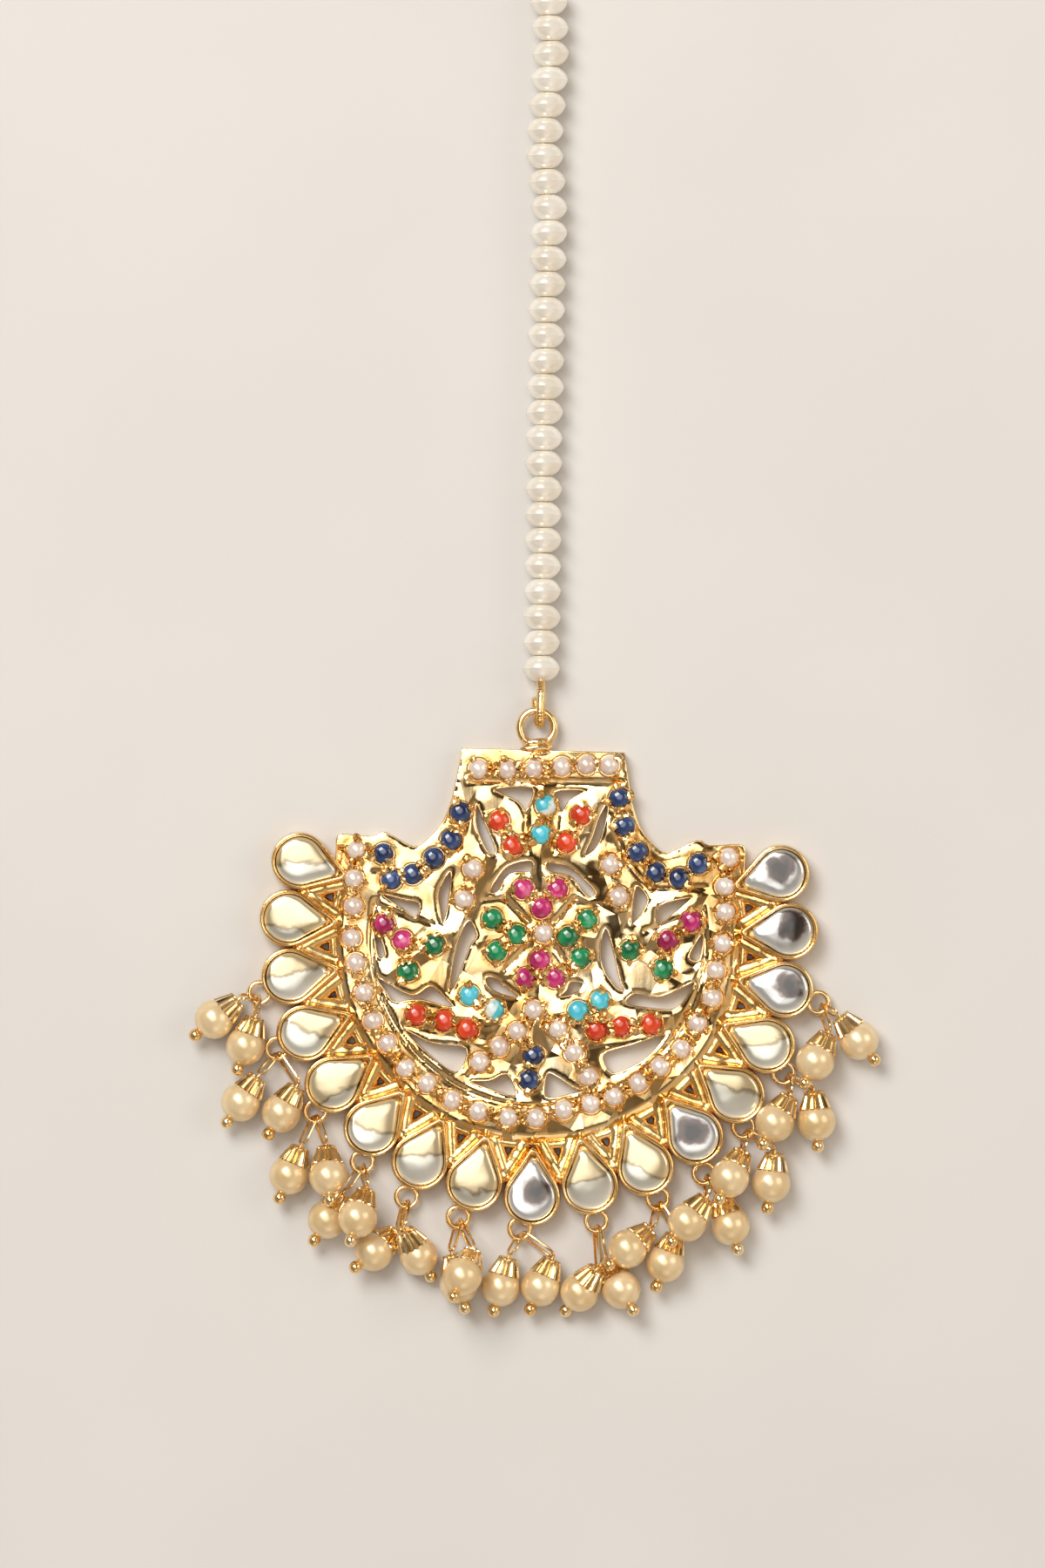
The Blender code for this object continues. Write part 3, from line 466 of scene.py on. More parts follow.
# %% Creases and folds
CREASES = (
    ((-7.4, 15.1), (8.0, 15.4), -0.18), ((0.1, 14.6), (0.1, 11.2), 0.16), ((0.0, 8.6), (0.2, 5.4), 0.3),
    ((-5.4, 13.4), (-1.3, 8.0), 0.14), ((5.4, 13.4), (1.6, 8.0), 0.14), ((-1.5, 12.4), (-1.3, 8.2), -0.16),
    ((1.7, 12.4), (1.4, 8.4), -0.16), ((-8.4, 15.4), (-7.2, 11.0), 0.12), ((8.2, 15.6), (7.2, 10.6), 0.12),
    ((-7.4, 12.0), (-8.2, 8.2), -0.14), ((7.0, 12.0), (8.2, 8.6), -0.14),
    ((-8.2, 8.2), (-11.6, 5.4), -0.14), ((8.4, 8.0), (11.4, 4.8), -0.14),
    ((-11.6, 5.4), (-16.8, 5.8), -0.12), ((11.4, 4.8), (16.8, 5.0), -0.12), ((-5.6, 7.6), (-7.9, 0.6), 0.2),
    ((5.8, 7.6), (8.4, 1.0), 0.2), ((-1.1, 1.1), (-3.4, 3.4), -0.22), ((1.6, 1.1), (3.6, 3.5), -0.22),
    ((-0.9, -1.2), (-3.2, -3.8), -0.22), ((1.5, -1.2), (3.4, -3.8), -0.22),
    ((-3.4, 3.4), (-5.6, 3.1), -0.16), ((3.6, 3.5), (6.0, 3.0), -0.16), ((0.2, 1.2), (0.2, 5.6), 0.14),
    ((-1.0, 0.2), (-5.6, -0.4), 0.14), ((2.0, 0.2), (5.8, -0.4), 0.14), ((0.2, -1.4), (0.2, -6.4), 0.14),
    ((-9.4, -0.2), (-15.2, -4.6), 0.18), ((9.6, -0.2), (15.0, -4.0), 0.18),
    ((-10.8, 0.6), (-16.6, 2.4), -0.14), ((10.8, 0.4), (16.4, 2.6), -0.14),
    ((-10.9, 1.2), (-14.6, -2.6), 0.1), ((11.0, 1.0), (14.6, -2.2), 0.1),
    ((-5.0, -8.9), (-13.8, -7.9), 0.16), ((4.8, -8.9), (13.6, -8.1), 0.16),
    ((-5.4, -10.9), (-13.4, -9.6), -0.12), ((5.2, -10.9), (13.2, -9.5), -0.12),
    ((-0.3, -8.8), (-6.6, -14.6), -0.14), ((0.4, -8.8), (6.4, -15.2), -0.14),
    ((-0.3, -9.2), (-0.5, -16.6), 0.2), ((-2.2, -8.6), (-5.6, -5.6), 0.12),
    ((2.4, -8.4), (5.8, -5.6), 0.12),
)
RIDGE_WIDTH, GROOVE_WIDTH = 1.3, 0.4
BAND_GROOVE_RADIUS, BAND_GROOVE_DEPTH, BAND_GROOVE_END = 16.9, 0.25, 3.0
RIM_WIDTH, RIM_DROP = 0.4, 0.12
BEVEL_RADIUS, BEVEL_SLOPE, BEVEL_END = 19.75, 0.45, 8.0
GRAVER_SHADE_RADIUS, GRAVER_SHADE_WIDTH = 1.45, 0.35
FOLDS = ((12, 7.3, 0.9, 0.055), (64, 6.1, 2.2, 0.05), (103, 8.6, 0.3, 0.06), (151, 5.7, 1.4, 0.045))
print(len(CREASES), "creases and", len(FOLDS), "sets of folds")

# %% [markdown]
# The next cell says how high the metal stands at any point: it falls away near an edge, rises or sinks
# along the creases, and folds into wide flat facets. The stones and their seats will stand on it at this
# height.

# %% How high the metal stands
def clamped(value):
    """A value kept between 0 and 1."""
    return min(1.0, max(0.0, value))


def tent(distance, width):
    """A straight-sided rise that ends at a width."""
    return max(0.0, 1.0 - distance / width)


def flat_tree(points):
    """A tree that finds which of some points on the plate are nearest."""
    tree = kdtree.KDTree(len(points))
    for index, (x, y) in enumerate(points):
        tree.insert((x, y, 0.0), index)
    tree.balance()
    return tree


edge_tree = flat_tree([
    start.lerp(end, share)
    for line in edge_lines
    for start, end in zip(line, line[1:] + line[:1])
    for share in (0.0, 0.25, 0.5, 0.75)
])
seat_tree = flat_tree(ALL_PLACES)


def facet(x, y):
    """The graver's flat cuts: four sets of straight folds, deeper towards the lower right."""
    height = 0.0
    for degrees, period, offset, slope in FOLDS:
        across = x * math.cos(math.radians(degrees)) + y * math.sin(math.radians(degrees)) - offset
        height += slope * (abs(across % period - period / 2) - period / 4)
    depth = 0.5 + clamped((x - y + 4.0) / 20.0)
    return height * depth + 0.03 * noise.noise(Vector((x * 0.4, y * 0.4, 1.7)))


def metal_height(x, y):
    """The top of the plate at a point, in millimetres."""
    flat = Vector((x, y))
    height = facet(x, y)
    for start, end, lift in CREASES:
        first, last = Vector(start), Vector(end)
        along = last - first
        share = clamped((flat - first).dot(along) / along.length_squared)
        width = RIDGE_WIDTH if lift > 0 else GROOVE_WIDTH
        height += lift * tent((flat - first - along * share).length, width)
    radius = (flat - FAN_CENTRE).length
    if y < BAND_GROOVE_END:
        height -= BAND_GROOVE_DEPTH * tent(abs(radius - BAND_GROOVE_RADIUS), GROOVE_WIDTH)
    rim = tent(edge_tree.find((x, y, 0.0))[2], RIM_WIDTH)
    bevel = BEVEL_SLOPE * max(0.0, radius - BEVEL_RADIUS) if y < BEVEL_END else 0.0
    return PLATE_TOP + height - bevel - RIM_DROP * rim * rim


def on_metal(place):
    """Moves a shape drawn on the flat plate to a place, at the metal's own height there."""
    return Matrix.Translation((*place, metal_height(*place) - PLATE_TOP))


def graver_rough_and_shade_at(x, y):
    """How rough the setter's graver has left the metal at a point, and how much shade is painted there: most
    just outside the seats.
    """
    away = seat_tree.find((x, y, 0.0))[2]
    patchy = clamped(0.5 + 1.6 * noise.noise(Vector((x * 1.3, y * 1.3, 9.0))))
    return patchy * tent(abs(away - GRAVER_SHADE_RADIUS), GRAVER_SHADE_WIDTH)


print("metal stands", round(metal_height(0.2, 8.0), 2), "mm high above the flower")

# %% [markdown]
# To shape the metal, the plate needs points all over its top, not only along its edges. A fine grid is
# pulled into a slab, and a Boolean keeps the part of it inside the prism. Bisecting planes cut edges along
# the folds and the creases, and the points of the top face move to the height that the last cell gives. The
# cut lines and the plate's own corners are marked sharp, so that they stay crisp.

# %% The pierced plate
GRID_STEP = 0.24
SLAB_WIDE, SLAB_LONG = 44, 42
SPARE = 1.0


def common_part(first_bm, second_bm):
    """What two bmeshes share, from a Boolean modifier, as a new bmesh."""
    objects = [in_scene("common", kept_shape("common", bm)) for bm in (first_bm, second_bm)]
    cut = objects[0].modifiers.new("cut", "BOOLEAN")
    cut.operation = "INTERSECT"
    cut.object = objects[1]
    bpy.context.view_layer.update()
    seen = objects[0].evaluated_get(bpy.context.evaluated_depsgraph_get())
    bm = bmesh.new()
    bm.from_mesh(seen.to_mesh())
    for obj in objects:
        mesh = obj.data
        bpy.data.objects.remove(obj)
        bpy.data.meshes.remove(mesh)
    return bm


slab = bmesh.new()
across, along = round(SLAB_WIDE / GRID_STEP), round(SLAB_LONG / GRID_STEP)
bmesh.ops.create_grid(slab, x_segments=across, y_segments=along, size=0.5)
bmesh.ops.scale(slab, vec=(SLAB_WIDE, SLAB_LONG, 1), verts=slab.verts)
bmesh.ops.translate(slab, vec=(0.013, -1.5, PLATE_TOP), verts=slab.verts)
border = [edge for edge in slab.edges if edge.is_boundary]
wall = bmesh.ops.extrude_edge_only(slab, edges=border)["geom"]
bmesh.ops.translate(slab, vec=(0, 0, -PLATE_TOP - SPARE), verts=only(BMVert, wall))
bmesh.ops.edgeloop_fill(slab, edges=[edge for edge in only(BMEdge, wall) if edge.is_boundary])
bmesh.ops.recalc_face_normals(slab, faces=slab.faces)

plate = common_part(slab, prism(edge_lines, PLATE_TOP + SPARE))
bmesh.ops.remove_doubles(plate, verts=plate.verts, dist=0.004)
for degrees, period, offset, slope in FOLDS:
    across = Vector((math.cos(math.radians(degrees)), math.sin(math.radians(degrees)), 0))
    for k in range(-10, 11):
        everything = plate.verts[:] + plate.edges[:] + plate.faces[:]
        middle = across * (offset + k * period / 2)
        cut = bmesh.ops.bisect_plane(plate, geom=everything, dist=0.02, plane_co=middle, plane_no=across)
        for edge in only(BMEdge, cut["geom_cut"]):
            edge.smooth = False
for start, end, lift in CREASES:
    first, last = Vector((*start, PLATE_TOP)), Vector((*end, PLATE_TOP))
    along = last - first
    normal = Vector((-along.y, along.x, 0)).normalized()
    near = [
        face
        for face in plate.faces
        if abs((face.calc_center_median() - first).dot(normal)) < 0.3
        and -0.1 < (face.calc_center_median() - first).dot(along) / along.length_squared < 1.1
        and face.normal.z > 0.9
    ]
    around = near + list(dict.fromkeys(edge for face in near for edge in face.edges))
    around += list(dict.fromkeys(vert for face in near for vert in face.verts))
    cut = bmesh.ops.bisect_plane(plate, geom=around, dist=0.02, plane_co=first, plane_no=normal)
    for edge in only(BMEdge, cut["geom_cut"]):
        if 0 < (edge.verts[0].co - first).dot(along) < along.length_squared:
            edge.smooth = False
# Each top point carries how rough the metal is and how much shade is painted on it.
graver_rough_and_shade = plate.verts.layers.float.new("graver_rough_and_shade")
for vert in plate.verts:
    if vert.co.z > PLATE_TOP - 0.01:
        vert[graver_rough_and_shade] = graver_rough_and_shade_at(vert.co.x, vert.co.y)
        vert.co.z = metal_height(vert.co.x, vert.co.y)
for edge in plate.edges:
    if len(edge.link_faces) == 2 and edge.calc_face_angle() > 0.9:
        edge.smooth = False
finish_piece("pierced_plate", plate, plate_gold, ["setting_frame"], sharp=0)

# %% [markdown]
# A file has rounded every edge of the piercing, and the plating gathers light there in a thin continuous
# line. A wire drawn along each outline, just under the metal's surface, gives these lips. The helper that
# draws it also makes the struts, rings, loops, thread, link and hook later on.

# %% Rounded lips
LIP_SUNK, LIP_RADIUS = 0.06, 0.12


def drawn_wire(bm, points, radius, sides=8, closed=False, rough=0.0, scored=0.0):
    """Draws a round wire through points: a circle at each, and a bridge from one to the next.

    Noise makes a rough wire uneven, and every other circle of a scored one is smaller.
    """
    loops = []
    across = None
    count = len(points)
    for i, point in enumerate(points):
        before = points[i - 1] if i or closed else point
        after = points[(i + 1) % count] if i < count - 1 or closed else point
        along = (after - before).normalized()
        across = across or along.orthogonal().normalized()
        across = (across - along * across.dot(along)).normalized()
        basis = Matrix((across, along.cross(across), along)).transposed().to_4x4()
        size = radius * (1.0 + rough * noise.noise(point * 3.1)) * (1.0 - scored * (i % 2))
        ring = bmesh.ops.create_circle(
            bm, segments=sides, radius=size, matrix=Matrix.Translation(point) @ basis
        )["verts"]
        loops.append([bm.edges.get((ring[k - 1], ring[k])) for k in range(sides)])
    pairs = list(zip(loops, loops[1:])) + ([(loops[-1], loops[0])] if closed else [])
    for first, second in pairs:
        bmesh.ops.bridge_loops(bm, edges=first + second)
    if not closed:
        for end in (loops[0], loops[-1]):
            bmesh.ops.edgeloop_fill(bm, edges=end)


lips = bmesh.new()
for line in edge_lines:
    path = [Vector((point.x, point.y, metal_height(point.x, point.y) - LIP_SUNK)) for point in line]
    drawn_wire(lips, path, LIP_RADIUS, closed=True)
finish_piece("opening_lips", lips, polished_gold, sharp=60)

# %% [markdown]
# Each round stone sits in a low collar raised from the plate. A collar is a small profile spun about the
# stone's middle: up the inside wall, over a thin bright rim and down a slope to the metal. It is kept as
# one shape and stamped at every place, which costs far less than spinning each one.

# %% Seats of the small stones
STONE_SEAT, PEARL_SEAT = 1.1, 1.05


def closed_shape(name, bm):
    """Welds a shape, turns its faces outwards and stores it."""
    bmesh.ops.remove_doubles(bm, verts=bm.verts, dist=WELD)
    bmesh.ops.recalc_face_normals(bm, faces=bm.faces)
    return kept_shape(name, bm)


def spun(name, profile, steps, fluted=0.0):
    """Turns a profile of (radius, height) pairs about Z, and pulls in every third step for flutes."""
    bm = bmesh.new()
    verts = [bm.verts.new((radius, 0.0, height)) for radius, height in profile]
    edges = [bm.edges.new(pair) for pair in zip(verts, verts[1:])]
    bmesh.ops.spin(
        bm, geom=verts + edges, cent=(0, 0, 0), axis=(0, 0, 1), angle=math.tau, steps=steps, use_merge=True
    )
    for vert in bm.verts if fluted else ():
        turn = round(math.atan2(vert.co.y, vert.co.x) / math.tau * steps)
        if turn % 3 == 0:
            vert.co.xy *= 1.0 - fluted
    return closed_shape(name, bm)


def stamp(bm, shape, matrix):
    """Adds a copy of a kept shape to a bmesh, at a place."""
    first = len(bm.verts)
    bm.from_mesh(shape)
    bm.verts.ensure_lookup_table()
    bmesh.ops.transform(bm, matrix=matrix, verts=bm.verts[first:])


def stamped(shape, matrices):
    """A bmesh with a copy of a kept shape at each place."""
    bm = bmesh.new()
    for matrix in matrices:
        stamp(bm, shape, matrix)
    return bm


def seat_shape(radius):
    """A collar whose bore takes a stone of a radius."""
    low = PLATE_TOP - 0.25
    profile = (
        (radius + 0.02, low), (radius + 0.02, PLATE_TOP + 0.16), (radius + 0.07, PLATE_TOP + 0.21),
        (radius + 0.13, PLATE_TOP + 0.17), (radius + 0.24, PLATE_TOP - 0.02), (radius + 0.24, low),
        (radius + 0.02, low),
    )
    return spun("seat_shape", profile, 24)


seats = stamped(seat_shape(STONE_SEAT), map(on_metal, STONE_PLACES))
pearl_seat = seat_shape(PEARL_SEAT)
for place in PEARL_PLACES:
    stamp(seats, pearl_seat, on_metal(place))
finish_piece("stone_seats", seats, polished_gold)

# %% [markdown]
# The coloured stones are low cabochons. A profile rises steeply from the girdle and rounds over to a gentle
# top, and each has a small tilt of its own, because no two lie quite level. The seed pearls are near
# spheres that stand higher in their seats.

# %% Small stones and seed pearls
SEED_RADIUS, SEED_SQUASH, SEED_RISE = 1.02, 0.88, 0.12


def spoke(angle):
    """A flat unit vector at an angle from +X."""
    return Vector((math.cos(angle), math.sin(angle)))


def tilted(place, index, height, degrees):
    """A place with a small tilt of its own."""
    tilt = Matrix.Rotation(math.radians(degrees) * math.sin(index * 1.7), 4, spoke(index * 2.399).to_3d())
    return on_metal(place) @ Matrix.Translation((0, 0, height)) @ tilt


cabochon = spun(
    "cabochon",
    (
        (0.0, -0.3), (0.95, -0.3), (1.07, 0.0), (1.08, 0.16), (1.0, 0.4), (0.78, 0.6), (0.44, 0.71),
        (0.0, 0.75),
    ),
    24,
)
for name, places, material in (
    ("sapphires", SAPPHIRES, sapphire), ("corals", CORALS, coral), ("turquoises", TURQUOISES[:4], turquoise),
    ("veined_turquoises", TURQUOISES[4:], veined_turquoise),
    ("rubies", RUBIES, ruby), ("emeralds", EMERALDS, emerald),
):
    stones = stamped(cabochon, [tilted(place, index, PLATE_TOP, 7) for index, place in enumerate(places)])
    finish_piece(name, stones, material)

pearls = bmesh.new()
for index, place in enumerate(PEARL_PLACES):
    spot = tilted(place, index, PLATE_TOP + SEED_RISE, 0) @ Matrix.Diagonal((1.0, 1.0, SEED_SQUASH, 1.0))
    bmesh.ops.create_uvsphere(pearls, u_segments=24, v_segments=14, radius=SEED_RADIUS, matrix=spot)
finish_piece("seed_pearls", pearls, seed_pearl)

# %% [markdown]
# Grains hold the stones. The setter pushes small lumps of metal from between the seats over the edge of
# each stone, and they stay rough and sparkling. Each is an icosphere of a few faces that noise has
# crumpled. A pair stands wherever two stones are neighbours, and a stone with few neighbours has lone
# grains at its free side.

# %% Grains between the stones
GRAIN_SIZE, GRAIN_GAP, GRAIN_REACH, NEIGHBOUR_REACH = 0.4, 0.42, 1.16, 3.3


def nugget_shape(number):
    """A crumpled lump of a few faces."""
    bm = bmesh.new()
    bmesh.ops.create_icosphere(bm, subdivisions=2, radius=1.0)
    for vert in bm.verts:
        vert.co *= 1.0 + 0.6 * noise.noise(vert.co * 1.7 + Vector((number * 3.7, 0, 0)))
    return kept_shape("nugget", bm)


nuggets = [nugget_shape(number) for number in range(5)]
grains = bmesh.new()
placed = []


def add_grain(spot, index):
    """Stamps a nugget unless one already stands there."""
    if any((spot - other).length < GRAIN_GAP for other in placed):
        return
    placed.append(spot)
    turn = Matrix.Rotation(index * 1.9, 4, "Z") @ Matrix.Rotation(index * 0.8, 4, "X")
    size = GRAIN_SIZE * (1.0 + 0.2 * math.sin(index * 2.3))
    lift = on_metal(spot) @ Matrix.Translation((0, 0, PLATE_TOP + 0.5))
    matrix = lift @ turn @ Matrix.Diagonal((size, size * 0.75, size * 1.1, 1))
    stamp(grains, nuggets[index % 5], matrix)


def grain_ring(place, number):
    """The grains of one stone: a pair towards each near neighbour, and one or two on its free side."""
    here = Vector(place)
    taken = []
    for _, other, distance in seat_tree.find_n((*place, 0.0), 4)[1:]:
        towards = (Vector(ALL_PLACES[other]) - here).normalized()
        if distance < NEIGHBOUR_REACH and all(towards.dot(side) < 0.7 for side in taken):
            taken.append(towards)
            for swing in (-0.36, 0.36):
                aside = Matrix.Rotation(swing, 2) @ towards
                add_grain(here + aside * GRAIN_REACH, number * 3 + round(swing * 3))
    for k in range(4):
        side = spoke(number * 1.3 + k * math.tau / 4)
        if all(side.dot(other) < 0.3 for other in taken):
            taken.append(side)
            add_grain(here + side * GRAIN_REACH, number * 5 + k)


for number, place in enumerate(ALL_PLACES):
    grain_ring(place, number)
print(len(placed), "grains")
finish_piece("gold_grains", grains, gritty_gold, sharp=25)

# %% [markdown]
# The fan is seventeen teardrop cups with their tips against the band. A cup starts as one teardrop face. It
# is pulled up in steps, drawn in over a rounded rim because the edge is burnished over the stone, and sunk
# to its floor.

# %% Teardrop collets
COLLET_STEP = math.radians(13.35)
COLLET_RADIUS = 2.9
LOBE_RADIUS = 25.4
COLLET_FOOT = 0.05
COLLET_FLOOR = 1.25


def teardrop(radius, tip_radius, tip_reach, round_steps=22, tip_steps=4):
    """A round end at the origin and a narrow end towards +Y, joined by straight sides."""
    tip_centre = tip_reach - tip_radius
    lean = math.asin((radius - tip_radius) / tip_centre)
    outline = []
    for i in range(tip_steps + 1):
        angle = lean + (math.pi - 2 * lean) * i / tip_steps
        outline.append(spoke(angle) * tip_radius + Vector((0, tip_centre)))
    for i in range(round_steps + 1):
        angle = math.pi - lean + (math.pi + 2 * lean) * i / round_steps
        outline.append(spoke(angle) * radius)
    return outline


def collet_places():
    """Where each cup's round end stands, and how it is turned."""
    places = []
    for offset in range(-8, 9):
        centre = polar(LOBE_RADIUS + (0.6 if offset == 0 else 0.0), offset * COLLET_STEP)
        turn = Matrix.Rotation(offset * COLLET_STEP, 4, "Z")
        places.append(Matrix.Translation((*centre, 0.0)) @ turn)
    return places


def drawn_up(outline, foot, steps, about):
    """Pulls one face up step by step. Each step has a share of the first face's size, and a rise."""
    bm = bmesh.new()
    base = bm.faces.new([bm.verts.new((point.x, point.y, foot)) for point in outline])
    top, size = base, 1.0
    for share, rise in steps:
        risen = bmesh.ops.extrude_face_region(bm, geom=[top])["geom"]
        if top is not base:
            bmesh.ops.delete(bm, geom=[top], context="FACES_ONLY")
        top = only(BMFace, risen)[0]
        grow = share / size
        bmesh.ops.scale(bm, vec=(grow, grow, 1), space=Matrix.Translation(-about), verts=top.verts)
        bmesh.ops.translate(bm, vec=(0, 0, rise), verts=top.verts)
        size = share
    return bm, top


CUPS = collet_places()
collet_steps = (
    (1.0, 2.2), (0.99, 0.2), (0.965, 0.11), (0.93, 0.04), (0.895, -0.04), (0.865, -0.14), (0.85, -0.5),
    (0.82, -0.3), (0.7, -0.12),
)
cup_bm, _ = drawn_up(teardrop(COLLET_RADIUS, 0.38, 5.0), COLLET_FOOT, collet_steps, Vector((0, 0, 0)))
cup = closed_shape("cup", cup_bm)
finish_piece("teardrop_collets", stamped(cup, CUPS), collet_gold, sharp=35)

# %% [markdown]
# Between the cups, thin struts were soldered from the band to where two cups touch, and left rough. Each
# gap has two that make a narrow V, with a small triangle open between them, a sill across the V's mouth and
# a lump at its point. A drawn wire with an uneven radius gives them the look of run solder.

# %% Struts between the cups
STRUT_RADIUS, SILL_RADIUS = 0.82, 0.52

struts = bmesh.new()
for i in range(16):
    angle = (i - 7.5) * COLLET_STEP
    tip = polar(BAND_OUTER_RADIUS + 3.2, angle)
    for side in (-1, 1):
        foot = polar(BAND_OUTER_RADIUS - 0.1, angle + side * 0.075)
        knee = polar(BAND_OUTER_RADIUS + 1.6, angle + side * 0.036)
        route = [Vector((*foot, 0.95)), Vector((*knee, 1.0)), Vector((*tip, 1.05))]
        drawn_wire(struts, eased(route, steps=5), STRUT_RADIUS, sides=14, rough=0.2)
    sill = [Vector((*polar(BAND_OUTER_RADIUS + 0.15, angle + turn), 1.0)) for turn in (-0.08, 0.0, 0.08)]
    drawn_wire(struts, eased(sill), SILL_RADIUS, sides=12, rough=0.2)
    lump = Matrix.Translation((*polar(BAND_OUTER_RADIUS + 3.5, angle), 1.35))
    lump = lump @ Matrix.Diagonal((0.75, 0.75, 0.6, 1))
    bmesh.ops.create_icosphere(struts, subdivisions=3, radius=1.0, matrix=lump)
finish_piece("solder_struts", struts, collet_gold, sharp=50)

# %% [markdown]
# The teardrop stones are flat-backed glass with a bevelled edge and a gently crowned top. The shape starts
# as one face and is pulled up in steps that each draw it in, first steeply for the bevel, then into a
# slight crown. The foil under it mirrors the light and the dark of the room, and that reflection is painted
# into its colour in two tones. Most are champagne; a few are clearer.

# %% Teardrop stones
CLEAR_STONES = (8, 11, 14, 15, 16)


def painted_reflection_tone(i, point):
    """How far a point of a stone is from where its painted reflection changes tone, with 0.5 on the line."""
    away = (point.xy - CUPS[i].translation.xy) / COLLET_RADIUS
    if i in CLEAR_STONES:
        return 0.62 * (away - Vector((0.12 * math.sin(i), 0.2))).length - 0.06
    swing = 0.4 * math.sin(i * 2.7)
    return 0.35 + 0.12 * math.sin(i * 1.9) + 0.4 * (away.y * math.cos(swing) + away.x * math.sin(swing))


crown_steps = ((1.0, 0.85), (0.96, 0.1), (0.9, 0.08), (0.8, 0.06), (0.6, 0.05), (0.4, 0.03), (0.2, 0.01))
stone_line = teardrop(2.4, 0.62, 3.75, 24, 8)
stone, top = drawn_up(stone_line, COLLET_FLOOR + 0.1, crown_steps, Vector((0, 0.35, 0)))
bmesh.ops.poke(stone, faces=[top])
kundan = closed_shape("kundan", stone)
for name, chosen, material in (
    ("kundan_stones", [i for i in range(17) if i not in CLEAR_STONES], champagne_foil_and_reflection),
    ("clear_kundan_stones", CLEAR_STONES, clear_foil_and_reflection),
):
    stones = bmesh.new()
    for i in chosen:
        swing = Matrix.Rotation(math.radians(4) * math.sin(i * 2.2), 4, "X")
        lift = Matrix.Translation((0, 0, 1.8)) @ swing @ Matrix.Translation((0, 0, -1.8))
        stamp(stones, kundan, CUPS[i] @ lift)
    # Each point carries where it lies in the painted reflection.
    reflection_tone = stones.verts.layers.float.new("foil_reflection")
    stones.verts.ensure_lookup_table()
    size = len(kundan.vertices)
    for number, i in enumerate(chosen):
        for vert in stones.verts[number * size:(number + 1) * size]:
            vert[reflection_tone] = painted_reflection_tone(i, vert.co)
    stood_for = [f"kundan_stone_{i + 1:02}" for i in chosen]
    finish_piece(name, stones, material, stood_for, sharp=18)

# %% [markdown]
# Thirteen cups carry a small flat ring for the drops, and the crown carries a larger one. The rings are
# wires drawn round a circle. The crown's ring stands on three lumps of solder.

# %% Rings
RING_PLACES = (
    (20, 0.54), (7, 0.34), (22, 0.34), (26, 0.63), (8, 0.90), (-10, 0.90), (-19, 0.52), (-2, 0.70),
    (-4, 0.47), (-25, 0.90), (-39, 0.42), (-34, 0.40), (-10, 0.71),
)
RING_RADIUS = 1.05
RING_WIRE = 0.22
RING_THICK = 0.26
RING_HEIGHT = COLLET_FLOOR - RING_WIRE - 0.05
TOP_RING = Vector((-0.7, CROWN_TOP + 2.4, 1.45))
TOP_RING_RADIUS, TOP_RING_WIRE = 1.75, 0.4


def circle_points(centre, radius, steps):
    """Points round a flat circle."""
    return [centre + spoke(math.tau * i / steps).to_3d() * radius for i in range(steps)]


ring_centres = []
for place, (turn, share) in zip(CUPS[2:], RING_PLACES):
    reach = COLLET_RADIUS + share * RING_RADIUS
    centre = place @ (Matrix.Rotation(math.radians(turn), 4, "Z") @ Vector((0, -reach, 0)))
    ring_centres.append(Vector((centre.x, centre.y, RING_HEIGHT)))

rings = bmesh.new()
for centre in ring_centres:
    drawn_wire(rings, circle_points(centre, RING_RADIUS, 28), RING_THICK, sides=10, closed=True)
finish_piece("drop_rings", rings, wire_gold)

loop = bmesh.new()
drawn_wire(loop, circle_points(TOP_RING, TOP_RING_RADIUS, 40), TOP_RING_WIRE, sides=14, closed=True)
finish_piece("top_ring", loop, wire_gold)

lumps = bmesh.new()
for x, y, wide, deep in ((-0.7, 18.7, 1.7, 0.42), (-0.6, 19.3, 1.4, 0.36), (-0.3, 18.15, 1.1, 0.3)):
    spot = Matrix.Translation((x, y, 1.62)) @ Matrix.Rotation(0.1, 4, "Z")
    spot = spot @ Matrix.Diagonal((wide, deep, 0.5, 1))
    bmesh.ops.create_icosphere(lumps, subdivisions=4, radius=1.0, matrix=spot)
for vert in lumps.verts:
    vert.co += Vector((0, 0, 1)) * 0.07 * noise.noise(vert.co * 2.3)
finish_piece("ring_solder", lumps, gritty_gold)

# %% [markdown]
# A drop is a pearl on a headpin. The pin's ball foot shows below it, a fluted cap sits on top, and the wire
# above the cap is bent into a long loop that hangs in the ring. The table is the CAD model's: each drop's
# place from its ring and the height of its pearl, in pearl radii, with the bearing and rise of its foot.

